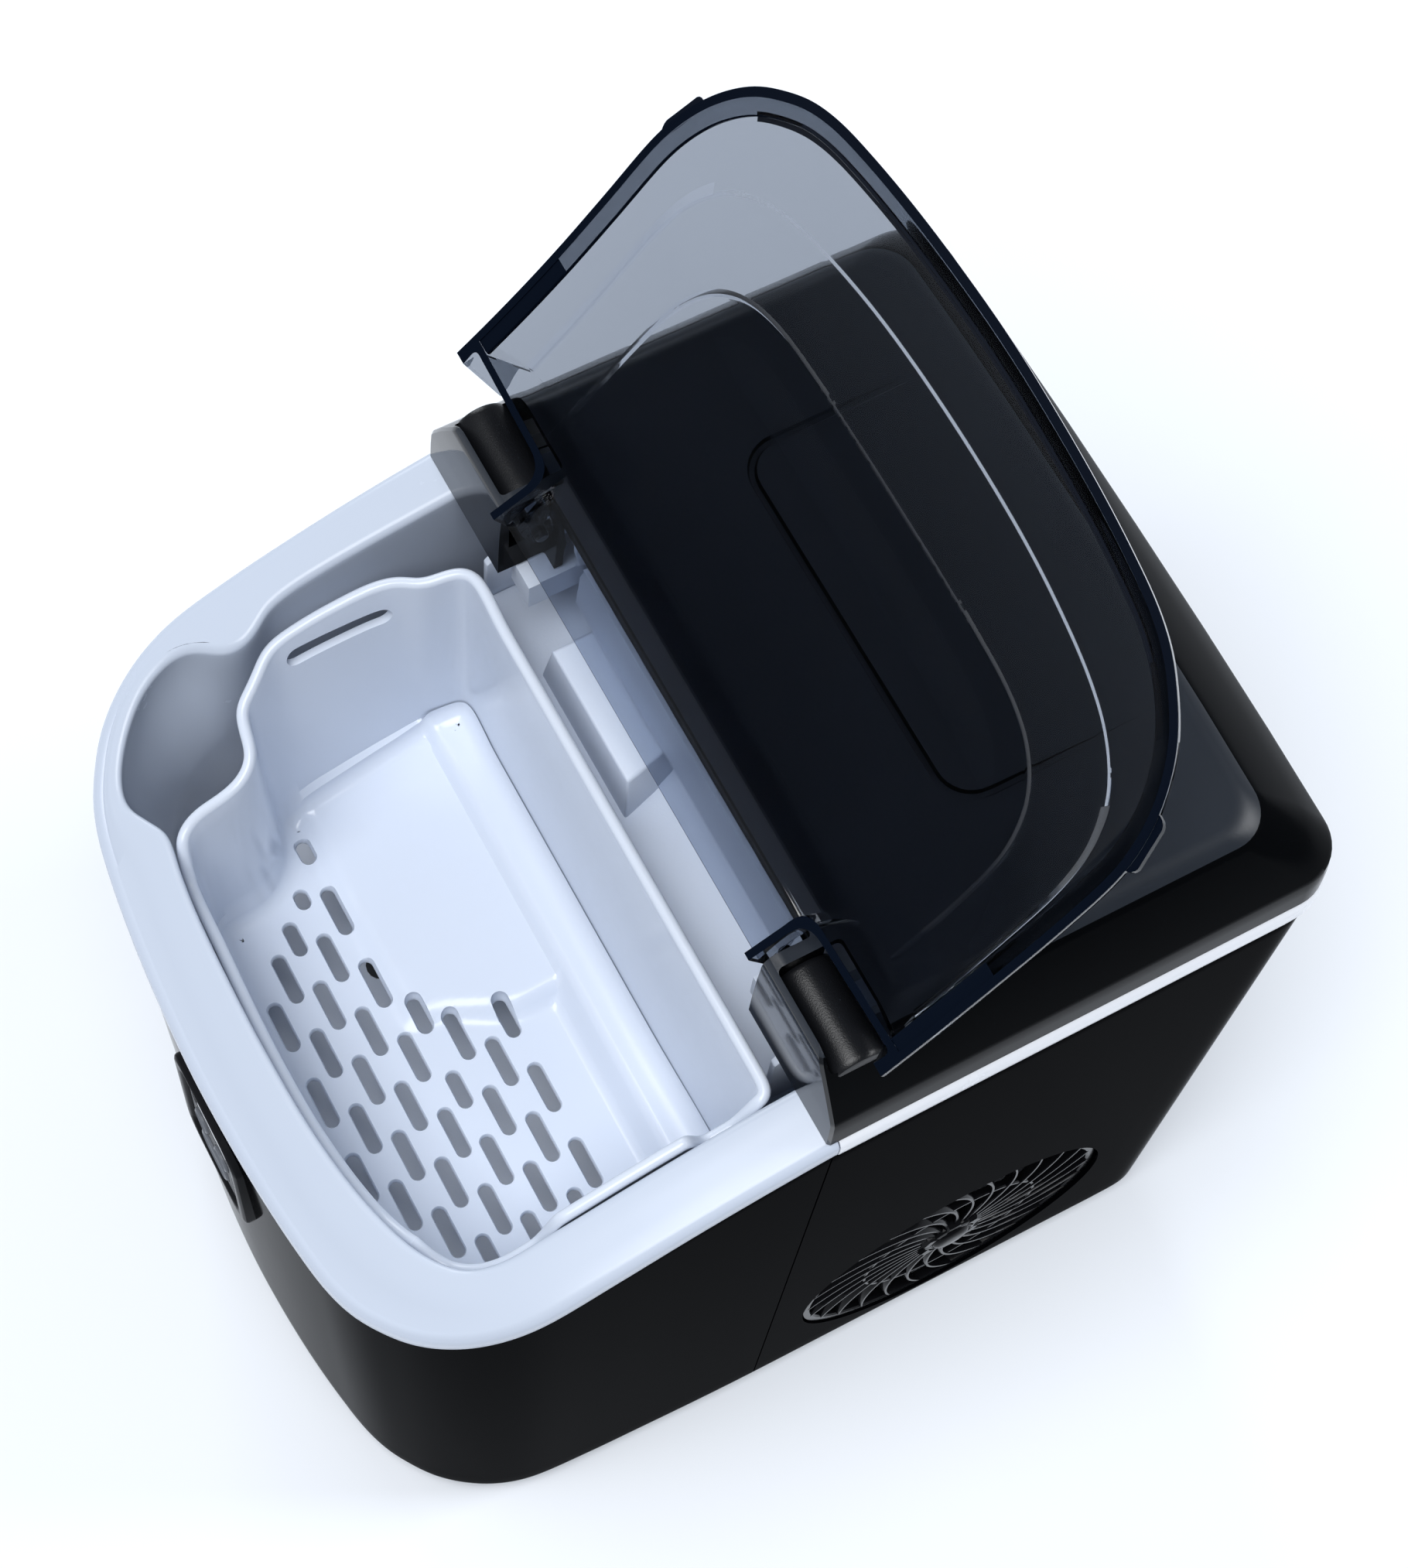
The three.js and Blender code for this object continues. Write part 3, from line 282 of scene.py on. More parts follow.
def loft(rings, cap_start=True, cap_end=True, wrap=True):
    """rings: list of (N, 3). Quads between them, fans to the middle at both ends. Open rings (wrap False) get no side closing."""
    n = len(rings[0]); verts = [np.asarray(r, float) for r in rings]; faces = []
    for k in range(len(rings) - 1):
        a, b = k * n, (k + 1) * n
        for i in range(n if wrap else n - 1):
            j = (i + 1) % n
            faces.append((a + i, a + j, b + j, b + i))
    v = np.concatenate(verts)
    if cap_start:
        c = len(v); v = np.concatenate([v, verts[0].mean(0)[None]])
        faces += [((i + 1) % n, i, c) for i in range(n)]
    if cap_end:
        c = len(v); base = (len(rings) - 1) * n
        v = np.concatenate([v, verts[-1].mean(0)[None]])
        faces += [(base + i, base + (i + 1) % n, c) for i in range(n)]
    return v, faces

def ring3(xy, z):
    return np.column_stack([xy, np.broadcast_to(z, len(xy))])

def make(name, verts, faces, mat, body=None, smooth=None, raw=False, normals=True):
    """a mesh object from design millimetres; smooth is the largest angle, in degrees, that shades round"""
    me = bpy.data.meshes.new(name)
    v = np.asarray(verts, float) if raw else T(verts)
    me.from_pydata(v.tolist(), [], [tuple(int(i) for i in f) for f in faces])
    if normals:
        bm = bmesh.new(); bm.from_mesh(me)
        bmesh.ops.remove_doubles(bm, verts=bm.verts, dist=2e-6)
        bmesh.ops.dissolve_degenerate(bm, edges=bm.edges, dist=1e-6)
        bmesh.ops.recalc_face_normals(bm, faces=bm.faces)
        bm.to_mesh(me); bm.free()
    me.materials.append(mat)
    o = bpy.data.objects.new(name, me)
    scene.collection.objects.link(o)
    shade(o, smooth)
    if body:
        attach(o, body)
    return o

def shade(o, angle):
    me = o.data
    me.polygons.foreach_set("use_smooth", [angle is not None] * len(me.polygons))
    if angle is not None:
        me.set_sharp_from_angle(angle=math.radians(angle))
    me.update()

def apply_mods(o):
    dg = bpy.context.evaluated_depsgraph_get()
    dg.update()
    me = bpy.data.meshes.new_from_object(o.evaluated_get(dg))
    o.modifiers.clear()
    old = o.data; o.data = me
    bpy.data.meshes.remove(old)

def carve(o, cutters, op="DIFFERENCE", solver="EXACT"):
    """boolean with a list of cutter objects, which are removed afterwards"""
    for c in cutters:
        m = o.modifiers.new("b", "BOOLEAN")
        m.operation, m.object, m.solver = op, c, solver
    apply_mods(o)
    for c in cutters:
        me = c.data; bpy.data.objects.remove(c); bpy.data.meshes.remove(me)

def bevel(o, width_mm, segments=2, angle=30.0):
    m = o.modifiers.new("bevel", "BEVEL")
    m.width, m.segments, m.limit_method, m.angle_limit = width_mm / 1000, segments, "ANGLE", math.radians(angle)
    m.harden_normals = False
    m.use_clamp_overlap = True
    apply_mods(o)

def prism(name, pts, z0, z1, axis="z", mat=None):
    """closed prism of a 2-D outline: axis z takes (x, y), x takes (y, z), y takes (x, z)"""
    p = np.array(pts, float); n = len(p)
    def place(h):
        h = np.full(n, h)
        return {"z": np.column_stack([p[:, 0], p[:, 1], h]), "x": np.column_stack([h, p[:, 0], p[:, 1]]),
                "y": np.column_stack([p[:, 0], h, p[:, 1]])}[axis]
    v = np.concatenate([place(z0), place(z1)])
    f = [tuple(range(n))[::-1], tuple(range(n, 2 * n))] + [(i, (i + 1) % n, n + (i + 1) % n, n + i) for i in range(n)]
    return make(name, v, f, mat or MAT["dark"])

def merge(name, parts, mat):
    """several cutters as one mesh"""
    bm = bmesh.new()
    for o in parts:
        bm.from_mesh(o.data)
    me = bpy.data.meshes.new(name); bm.to_mesh(me); bm.free()
    for o in parts:
        d = o.data; bpy.data.objects.remove(o); bpy.data.meshes.remove(d)
    me.materials.append(mat)
    o = bpy.data.objects.new(name, me); scene.collection.objects.link(o)
    return o

def slot_outline(cx, cy, lx, ly, n=6):
    """stadium or rounded bar, lx by ly"""
    r = min(lx, ly) / 2; pts = []
    hx, hy = lx / 2 - r, ly / 2 - r
    for a0, sx, sy in ((0, 1, 1), (90, -1, 1), (180, -1, -1), (270, 1, -1)):
        for i in range(n + 1):
            a = math.radians(a0 + 90 * i / n)
            pts.append((cx + sx * hx + r * math.cos(a), cy + sy * hy + r * math.sin(a)))
    return pts

def rrect(x0, x1, y0, y1, r, n=6):
    pts = []
    for cx, cy, a0 in ((x1 - r, y0 + r, -90), (x1 - r, y1 - r, 0), (x0 + r, y1 - r, 90), (x0 + r, y0 + r, 180)):
        for i in range(n + 1):
            a = math.radians(a0 + 90 * i / n)
            pts.append((cx + r * math.cos(a), cy + r * math.sin(a)))
    return pts

def lathe(name, profile, axis, centre, mat, seg=48, body=None, smooth=40):
    """profile of (radius, height); the axis is x, y or z through centre"""
    rings = []
    for r, h in profile:
        a = np.linspace(0, 2 * np.pi, seg, endpoint=False)
        c, s = max(r, 1e-3) * np.cos(a), max(r, 1e-3) * np.sin(a)
        hh = np.full(seg, float(h))
        rings.append({"z": np.column_stack([c, s, hh]), "x": np.column_stack([hh, c, s]), "y": np.column_stack([s, hh, c])}[axis] + np.array(centre, float))
    v, f = loft(rings)
    return make(name, v, f, mat, body, smooth)

def smoothstep(a, b, x):
    t = np.clip((np.asarray(x, float) - a) / (b - a), 0, 1)
    return t * t * (3 - 2 * t)

def even_normals(o):
    """face-area weighted shading, so big flat faces stay flat beside small fillets"""
    m = o.modifiers.new("wn", "WEIGHTED_NORMAL")
    m.keep_sharp, m.weight, m.mode = True, 100, "FACE_AREA"
    apply_mods(o)

def hide(piece, *nodes):
    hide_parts(*nodes)

HALF = [(111.4, 0), (111.1, 40), (111, 60), (110.3, 81), (108.3, 90), (105, 98), (100.5, 105), (95, 111), (88, 116),
        (80.5, 120.2), (71, 123.2), (58, 125.3), (40, 127.2), (20, 128.4), (0, 128.9)]
def front_u(n, x_hinge=111.4, y_hinge=1.4, pts=None):
    """the open front outline from the right hinge point round the front to the left one"""
    right = [(x_hinge, y_hinge)] + [(x, -y) for x, y in HALF[1:]]
    left = [(-x, y) for x, y in right[:-1]][::-1]
    return soften(resample(catmull(right + left, closed=False), n, closed=False), n / 120.0, closed=False)

# ------------------------------------------------------------------ deck and tank
def make_deck():
    n1, n2 = 420, 70
    O = front_u(n1)
    inner = [(92.9, 1.4), (92.7, -12), (92.5, -40), (92.3, -62), (92, -72), (91.4, -82.6), (87.8, -91.6), (77.6, -99), (60.4, -104.6), (36, -108.5),
             (6.8, -110), (-18, -110), (-34.7, -109.5), (-46.4, -108.5), (-54.3, -107.3), (-59.2, -107), (-65.8, -109.9), (-72.6, -112.6), (-79.3, -111.3),
             (-86.3, -107.2), (-92.4, -101.7), (-96.9, -95.9), (-99.3, -89.9), (-100, -84.7), (-98.8, -80.4), (-96.3, -77.2), (-93.6, -74.4),
             (-91.6, -70.9), (-91.4, -66.4), (-93.2, -61.9), (-95.8, -57.6), (-96.9, -51), (-96.9, -39.8), (-96.4, -25.9), (-95.9, -12.3), (-95.6, 1.4)]
    I = resample(catmull(inner, closed=False), n1, closed=False)
    I = soften(I, 2.0, closed=False)
    # match inner samples to outer ones by direction from a long middle line, not by length
    nI, nO = normals2(I, False), normals2(O, False)
    well = resample(catmull([(92.9, 1.4), (92.5, -40), (92, -72), (91.4, -82.6), (87.8, -91.6), (77.6, -99), (60.4, -104.6), (36, -108.5), (6.8, -110),
            (-25.7, -109.5), (-50, -107.4), (-60, -106.4), (-72, -103.6), (-81, -98.6), (-87.5, -91.5), (-90.6, -83), (-91.6, -74), (-92.2, -66), (-93.6, -58), (-94.6, -40), (-95, -12), (-95.6, 1.4)], closed=False), 1600, closed=False)
    d = np.linalg.norm(I[:, None, :] - well[None], axis=2)
    W = soften(well[np.argmin(d, 1)], 3.0, closed=False)
    # rear part of the tank, under the cover
    rear = resample(np.array([(-95.6, 1.5), (-95.6, 70), (-92, 78), (-86, 79), (84, 79), (90, 78), (92.9, 70), (92.9, 1.5)], float), n2, closed=False)
    nR = normals2(rear, False)
    def join(front_xy, front_z, rear_xy, rear_z):
        return np.column_stack([np.concatenate([front_xy, rear_xy]), np.concatenate([np.broadcast_to(front_z, n1), np.broadcast_to(rear_z, n2)])])
    zI, zO, zW = deck_z(I[:, 1]), deck_z(O[:, 1]), deck_z(W[:, 1])
    rings = []
    zf = -134.6
    wall_out = W + nI * 2.4
    rear_out = rear + nR * 2.4
    pull = lambda xy, k: xy * np.array([1 - k, 1 - k]) + np.array([0, -15.0]) * k
    rings.append(join(pull(wall_out, 0.05), -138.0, pull(rear_out, 0.05), -138.0))
    rings.append(join(pull(wall_out, 0.03), -135.0, pull(rear_out, 0.03), -135.0))
    rings.append(join(wall_out, -98.0, rear_out, -60.0))
    rings.append(join((I + W) / 2 + nI * 3.0, np.minimum(zI - 27.0, -40), rear_out, -30.0))
    rings.append(join(I + nI * 2.7, zI - 8.6, rear_out, -7.0))
    rings.append(join(O - nO * 1.2, zO - 8.0, rear_out, -6.0))
    rings.append(join(O - nO * 0.4, zO - 7.85, rear_out, -5.6))
    rings.append(join(O - nO * 0.0, zO - 7.3, rear_out, -5.2))
    rings.append(join(O, zO - 5.2, rear_out, -4.6))
    R = 3.0
    for a in np.linspace(0, 90, 8):
        a = math.radians(a)
        rings.append(join(O - nO * R * (1 - math.cos(a)), zO - R + R * math.sin(a), rear_out, -4.5 + 3.0 * a / 1.6))
    A, B = O - nO * 3.0, I + nI * 2.4
    for k in (0.33, 0.66):
        m = A * (1 - k) + B * k
        rings.append(join(m, deck_z(m[:, 1]), rear + nR * (2.4 - k), -1.4))
    R = 2.4
    for a in np.linspace(0, 90, 8):
        a = math.radians(a)
        p = I + nI * R * (1 - math.sin(a))
        rings.append(join(p, deck_z(p[:, 1]) * 1.0 - R * (1 - math.cos(a)), rear + nR * 0.3 * (1 - math.sin(a)), -1.4 - 0.5 * a))
    # walls: steep lip, then the scoop slopes in to the tank wall
    top = zI - R
    for k, (depth, w) in enumerate([(2, 0.995), (4.2, 0.97), (6.8, 0.93), (9.8, 0.87), (13, 0.79), (16.5, 0.69), (20.5, 0.57), (25, 0.435), (29.5, 0.31), (34, 0.20), (38.5, 0.105), (42.5, 0.04), (46, 0.0)]):
        z = np.maximum(top - depth, -88 - 0.3 * k)
        p = I * w + W * (1 - w)
        rings.append(join(p, z, rear, -3.0 - depth))
    for z in (-94, -104, -118, -127):
        rings.append(join(W, float(z), rear, float(z)))
    for a in np.linspace(15, 90, 6):
        a = math.radians(a); R = 7.0
        rings.append(join(W - nI * R * (1 - math.cos(a)), zf + R - R * math.sin(a), rear - nR * R * (1 - math.cos(a)), zf + R - R * math.sin(a)))
    last = rings[-1]
    mid = np.array([0.0, -15.0, zf])
    for k in (0.35, 0.7):
        rings.append(last * (1 - k) + mid * k)
    v, f = loft(rings)
    o = make("deck_and_tank_skin", v, f, MAT["white"], "housing", 42)
    # painted light: the upward faces of the tank floor get a much brighter white than the rest of the moulding,
    # standing in for light reaching the bottom of the tank
    MAT["tank"] = plastic("tank_floor_painted_light", (0.80, 0.86, 0.97), 0.4, 0.01, 0.04, 1400, 0.015, 45)
    o.data.materials.append(MAT["tank"])
    # mask: upward faces at the bottom of the tank take the brighter painted-light white
    for p in o.data.polygons:
        if p.center.z * 1000 - SHIFT[2] < -126 and p.normal.z > 0.4:
            p.material_index = 1
    hide(o, "deck_and_tank")
    return o
make_deck()

# ------------------------------------------------------------------ ice basket
BASKET_TOP = [(-75, -5.6), (-78.2, -8.4), (-79.8, -14), (-81, -19), (-84.6, -22.8), (-87.2, -29), (-88.6, -39), (-89.4, -54), (-88.6, -62), (-84.8, -67),
    (-81.6, -71), (-78.6, -75.4), (-71, -77.6), (-65, -79), (-61.2, -83.6), (-60.2, -90), (-60.4, -98), (-57.8, -104), (-51, -106.6), (-25.7, -107.8), (6.8, -108.5), (35, -107.2),
    (59.4, -103.2), (76.4, -97.6), (86.2, -90.4), (89.9, -82), (90.4, -71.5), (90.6, -40), (90.8, -12), (90.6, -7.2), (89.4, -5.8), (86, -5.6), (40, -5.6), (-20, -5.6), (-55, -5.6)]
BASKET_LOW = [(-74, -7.0), (-76.6, -9.6), (-77.6, -14), (-78.2, -19), (-78, -24), (-77, -30), (-76, -39), (-74.6, -50), (-73.4, -60), (-72.2, -66),
    (-71.6, -69.4), (-70.4, -73), (-66, -75.4), (-60, -77.2), (-54.6, -81), (-51, -86), (-50, -94), (-49, -101), (-45.4, -104.6), (-25.7, -105.8), (6.8, -106.5), (34, -105.2),
    (57.4, -101.2), (73.4, -96), (83, -89), (86.6, -81), (87.2, -71.5), (87.6, -40), (87.8, -13), (86.6, -8.4), (83.4, -7.0), (39, -7.0), (-20, -7.0), (-54, -7.0)]
FLOOR = -96.0
def basket_floor(x, y):
    """height of the floor's upper face: coved ledge along the back, and the raised scoop field that ends in an arc"""
    x, y = np.asarray(x, float), np.asarray(y, float)
    ledge = 8.8 * smoothstep(-27.5, -19.5, y) + 1.4 * smoothstep(-19.5, -8.0, y)
    # signed distance into the raised field: a front edge that bows, with a rounded right end
    edge = -62.5 - 3.5 * np.cos(np.clip((x + 30) / 60.0, -1.5, 1.5))
    right = 4.0 + 10.0 * smoothstep(-62, -34, y)
    inside = smoothstep(-3.2, 3.2, y - edge) * smoothstep(-3.4, 3.4, right - x)
    rise = (2.2 + 0.075 * (y + 66)) * inside
    return FLOOR + np.maximum(ledge, rise)
SLOTS = []
for y, spans in ((-40.7, ((7.2, 19.8), (29.0, 44.5), (53.8, 69.3))), (-47.8, ((16.7, 32.2), (41.6, 57.1), (66.4, 81.0))),
        (-55.0, ((4.3, 19.8), (29.2, 44.7), (54.0, 69.5))), (-62.2, ((-4.3, 7.4), (20.6, 32.2), (41.6, 57.1), (66.4, 81.0))),
        (-69.1, ((-61.8, -54.0), (-45.2, -29.7), (-20.5, -5.0), (4.3, 19.8), (29.2, 44.7), (54.0, 69.5))),
        (-76.3, ((-48.0, -42.0), (-32.9, -17.4), (-8.1, 7.4), (16.7, 32.2), (41.6, 57.1), (66.4, 79.5))),
        (-83.4, ((-40.4, -29.7), (-20.5, -5.0), (4.4, 19.9), (29.2, 44.7), (54.0, 69.5))),
        (-90.5, ((-32.9, -17.4), (-8.1, 7.4), (16.8, 32.3), (41.6, 57.1), (66.4, 76.5))),
        (-97.7, ((-20.4, -4.9), (4.6, 20.1), (29.3, 44.8), (53.9, 65.0)))):
    for a, b in spans:
        SLOTS.append(((a + b) / 2 + 0.113, y - 0.137, b - a))
def fill_grid(ring, step, height):
    """triangulated even fill of a closed outline; the outline's own points come first"""
    from mathutils.geometry import delaunay_2d_cdt
    n = len(ring)
    x0, y0 = ring.min(0); x1, y1 = ring.max(0)
    gx, gy = np.meshgrid(np.arange(x0 + step / 2, x1, step), np.arange(y0 + step / 2, y1, step))
    P = np.column_stack([gx.ravel(), gy.ravel()])
    # keep points well inside
    a, b = ring, np.roll(ring, -1, 0)
    inside = np.zeros(len(P), bool)
    for (ax, ay), (bx, by) in zip(a, b):
        hit = ((ay > P[:, 1]) != (by > P[:, 1]))
        if ay != by:
            xi = ax + (P[:, 1] - ay) / (by - ay) * (bx - ax)
            inside ^= hit & (P[:, 0] < xi)
    d = np.min(np.hypot(P[:, None, 0] - ring[None, ::2, 0], P[:, None, 1] - ring[None, ::2, 1]), axis=1)
    P = P[inside & (d > step * 0.75)]
    pts = [Vector(p) for p in ring.tolist()] + [Vector(p) for p in P.tolist()]
    res = delaunay_2d_cdt(pts, [(i, (i + 1) % n) for i in range(n)], [], 1, 1e-7)
    co = np.array([tuple(p) for p in res[0]])
    # put the outline points first, in their own order
    order = {}
    for k, src in enumerate(res[3]):
        for q in src:
            order[q] = k
    perm = [order[i] for i in range(n)]
    rest = [k for k in range(len(co)) if k not in set(perm)]
    new = {k: i for i, k in enumerate(perm + rest)}
    co2 = co[perm + rest]
    tris = [tuple(new[k] for k in t) for t in res[2]]
    return np.column_stack([co2, height(co2[:, 0], co2[:, 1])]), tris
def make_basket():
    n = 460
    top = soften(resample(catmull(clockwise(BASKET_TOP)), n), 2.2)
    low = soften(resample(catmull(clockwise(BASKET_LOW)), n), 2.2)
    # same start on both
    k = np.argmin(np.linalg.norm(low - top[0], axis=1)); low = np.roll(low, -k, 0)
    nt_, nl = normals2(top), normals2(low)
    def wall(t, off):                      # t 0 at the rim, 1 at the floor; off inwards
        p = top * (1 - t) + low * t
        nn = nt_ * (1 - t) + nl * t
        return p - nn * off
    th = 2.3
    ztop = deck_z(top[:, 1]) - 4.2
    # the rim sinks under the deck's inner edge at the front and on the right
    sink = np.maximum((1 - smoothstep(-104, -96, top[:, 1])) * smoothstep(-57, -46, top[:, 0]), smoothstep(66, 84, top[:, 0]) * (1 - smoothstep(-17, -9, top[:, 1])))
    ztop = ztop - 7.5 * sink
    # the lip on the right rises above the rim
    lift = 10.4 * smoothstep(-73, -65, top[:, 1]) * (1 - smoothstep(-31, -23, top[:, 1])) * (top[:, 0] > 60)
    ztop = ztop + lift
    zb = FLOOR - 2.4
    def level(t): return ztop * (1 - t) + zb * t
    rings = []
    bottom_in = low - nl * 8
    rings.append(ring3(low * 0.5 + np.array([0, -28]), zb))
    rings.append(ring3(low - nl * 9, zb))
    for a in np.linspace(90, 0, 6):
        a = math.radians(a); R = 5.0
        rings.append(ring3(low - nl * R * (1 - math.cos(a)), zb + R - R * math.sin(a)))
    for t in np.linspace(0.9, 0.08, 9):
        rings.append(np.column_stack([wall(t, 0), level(t)]))
    # rounded rim, slightly thicker than the wall
    R = (th + 1.2) / 2
    for a in np.linspace(-50, 180, 14):
        a = math.radians(a)
        rings.append(np.column_stack([wall(0, R - R * math.cos(a) - 1.1), ztop - R + R * math.sin(a)]))
    for t in np.linspace(0.05, 0.86, 12):
        rings.append(np.column_stack([wall(t, th), level(t)]))
    R = 5.0
    base = low - nl * th
    fz = lambda p: basket_floor(p[:, 0], p[:, 1])
    for a in np.linspace(8, 90, 8):
        a = math.radians(a)
        p = base - nl * R * (1 - math.cos(a))
        rings.append(np.column_stack([p, fz(p) + R - R * math.sin(a)]))
    inner = soften(base - nl * (R + 1.4), 1.5)
    rings.append(np.column_stack([inner, fz(inner)]))
    v, f = loft(rings, True, False)
    # the floor itself: an even grid stitched to the last ring
    gv, gf = fill_grid(rings[-1][:, :2], 1.6, basket_floor)
    base_i = (len(rings) - 1) * n
    off = len(v) - n
    v = np.concatenate([v, gv[n:]])
    f += [tuple((base_i + i) if i < n else (i + off) for i in face) for face in gf]
    o = make("ice_basket_skin", v, f, MAT["basket"], None, 40)
    # slots
    X, Y = 15.2, 4.0
    rows = SLOTS
    cutters = []
    for cx, cy, lx in rows:
        pts = slot_outline(cx, cy, lx, Y, 6)
        big = slot_outline(cx, cy, lx + 1.1, Y + 1.1, 6)
        m = len(pts)
        v = np.concatenate([ring3(np.array(pts), FLOOR - 6), ring3(np.array(pts), FLOOR - 0.55), ring3(np.array(big), FLOOR + 0.35), ring3(np.array(big), FLOOR + 6)])
        fa = [tuple(range(m))[::-1], tuple(range(3 * m, 4 * m))]
        for q in range(3):
            fa += [(q * m + i, q * m + (i + 1) % m, (q + 1) * m + (i + 1) % m, (q + 1) * m + i) for i in range(m)]
        cutters.append(make("c", v, fa, MAT["basket"]))
    # handle opening in the left wall
    hp = np.array([(y, z + (y + 43) * 0.2) for y, z in rrect(-58, -27, -31.5, -24.6, 3.4, 8)])
    cutters.append(prism("c", hp, -96, -70, "x", MAT["basket"]))
    tool = merge("cut", cutters, MAT["basket"])
    m = o.modifiers.new("b", "BOOLEAN")
    m.operation, m.object, m.solver, m.use_self = "DIFFERENCE", tool, "EXACT", True
    apply_mods(o)
    me = tool.data; bpy.data.objects.remove(tool); bpy.data.meshes.remove(me)
    # nothing below the underside may stay behind
    bm = bmesh.new(); bm.from_mesh(o.data)
    low = [q for q in bm.verts if q.co.z * 1000 - SHIFT[2] < FLOOR - 3.2]
    print("below the basket floor", len(low))
    bmesh.ops.delete(bm, geom=low, context="VERTS")
    bm.to_mesh(o.data); bm.free()
    shade(o, 38)
    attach(o, "ice_basket")
    hide(o, "ice_basket")
    return o
make_basket()

# ------------------------------------------------------------------ housing shells
def body_plan(n=900):
    right = [(x, -y) for x, y in HALF][::-1]                     # middle of the front -> hinge line
    right = [p for p in right if p[1] < -0.5] + [(111.4, 0), (111.35, 30), (111.3, 60), (111.25, 90), (111.2, 115), (111.2, 130), (111.2, 138)]
    for i in range(0, 7):
        a = math.radians(15 * i)
        right.append((97.2 + 14 * math.cos(a), 140.9 + 14 * math.sin(a)))
    right += [(84, 155.3), (70, 155.8), (50, 156.2), (25, 156.45), (0, 156.5)]
    left = [(-x, y) for x, y in right[1:-1]][::-1]
    return soften(resample(catmull(clockwise(right + left), per=20), n), 3.0)
PLAN = body_plan()
PLAN_N = normals2(PLAN)
def body_ring(extra, z):
    """plan drawn in towards the floor, more at the front than at the back"""
    p = PLAN - PLAN_N * np.reshape(extra, (-1, 1) if np.ndim(extra) else ())
    z = np.broadcast_to(z, len(p))
    t = np.clip(-z / 266.0, 0, 1)
    x, y = p[:, 0], p[:, 1]
    f = np.clip((130 - y) / 250.0, 0, 1)
    d = t * (0.6 + 2.8 * f)
    l = np.maximum(np.hypot(x, y), 1e-6)
    k = (np.abs(x * y) / (111.0 * 129.0)) ** 2 * 5 * t * (y < 0)
    nx = x - d * np.clip(x / 60.0, -1, 1) - x / l * k
    ny = y + np.where(y < 0, d, -d * 0.6) * np.minimum(1, np.abs(y) / 100) - y / l * k
    return np.column_stack([nx, ny, z])
def body_open(extra, z, side):
    """the part of the ring in front of (side -1) or behind (side +1) the seam, as an open curve"""
    r = body_ring(extra, z)
    y0 = 1.35 if side < 0 else 1.85
    ys = PLAN[:, 1]
    keep = ys < y0 if side < 0 else ys > y0
    n = len(r)
    # rotate so that the kept stretch is contiguous
    start = next(i for i in range(n) if keep[i] and not keep[i - 1])
    idx = [(start + i) % n for i in range(int(keep.sum()))]
    seg = r[idx]
    def edge(a, b):
        t = (y0 - a[1]) / (b[1] - a[1])
        return a + (b - a) * t
    first = edge(r[(start - 1) % n], seg[0]); last = edge(seg[-1], r[(idx[-1] + 1) % n])
    return np.concatenate([first[None], seg, last[None]])
def shell_skin(name, side, mat, nodes, cutters=None):
    rows = []
    ztop_of = (lambda y: deck_z(y) - 8.4) if side < 0 else (lambda y: np.full(np.shape(y), -9.75))
    # bottom corner
    for a in np.linspace(80, 0, 9):
        a = math.radians(a)
        rows.append(body_open(1.25 + 4.2 * (1 - math.cos(a)), -257 - 9.0 * math.sin(a), side))
    base = body_open(1.25, -250.0, side)
    ytop = base[:, 1]
    zt = ztop_of(ytop)
    for t in np.linspace(0.0, 1.0, 26):
        zz = -250 + (zt - 0.8 + 250) * t
        # same columns as the base row: rebuild with a z that follows each column
        cols = body_open(1.25, -250 + (-9 + 250) * t, side)
        cols = cols.copy(); cols[:, 2] = zz
        # draw-in is computed from the row's common height, not from each column's own
        rows.append(cols)
    top = rows[-1]
    n2 = normals2(top, False)
    for a in (30, 60, 90):
        a = math.radians(a)
        q = top.copy(); q[:, :2] -= n2 * 0.8 * (1 - math.cos(a)); q[:, 2] += 0.8 * math.sin(a)
        rows.append(q)
    # soft edge at the seam
    out = []
    for q in rows:
        n2 = normals2(q, False)
        a, b = q[0].copy(), q[-1].copy()
        a[:2] -= n2[0] * 0.5; b[:2] -= n2[-1] * 0.5
        out.append(np.concatenate([a[None], q, b[None]]))
    v, f = loft(out, False, False, wrap=False)
    o = make(name, v, f, mat, None, None)
    m = o.modifiers.new("wall", "SOLIDIFY"); m.thickness = 0.0024; m.offset = -1; m.use_rim = True
    apply_mods(o)
    # the wall must grow inwards
    lo = min(vv.co.y for vv in o.data.vertices)
    if side < 0 and lo < T([0, -127.75, 0])[1] - 0.0006 or side > 0 and max(vv.co.y for vv in o.data.vertices) > T([0, 155.3, 0])[1] + 0.0006:
        print("shell wall grew outwards", name)
    if cutters:
        carve(o, [merge("cut", cutters, mat)])
    shade(o, 32)
    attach(o, "housing")
    hide(o, *nodes)
    return o
def front_cutters():
    cs = [prism("c", rrect(-9.2, 9.2, -141.8, -130.2, 5.6, 10), -140, -112, "y", MAT["shell"])]
    for x in (-6.4, 6.4):
        a = np.linspace(0, 2 * np.pi, 40, endpoint=False)
        cs.append(prism("c", np.column_stack([x + 4.8 * np.cos(a), -121.5 + 4.8 * np.sin(a)]), -140, -112, "y", MAT["shell"]))
    return cs
shell_skin("front_shell_skin", -1, MAT["shell"], ["front_shell"], front_cutters())

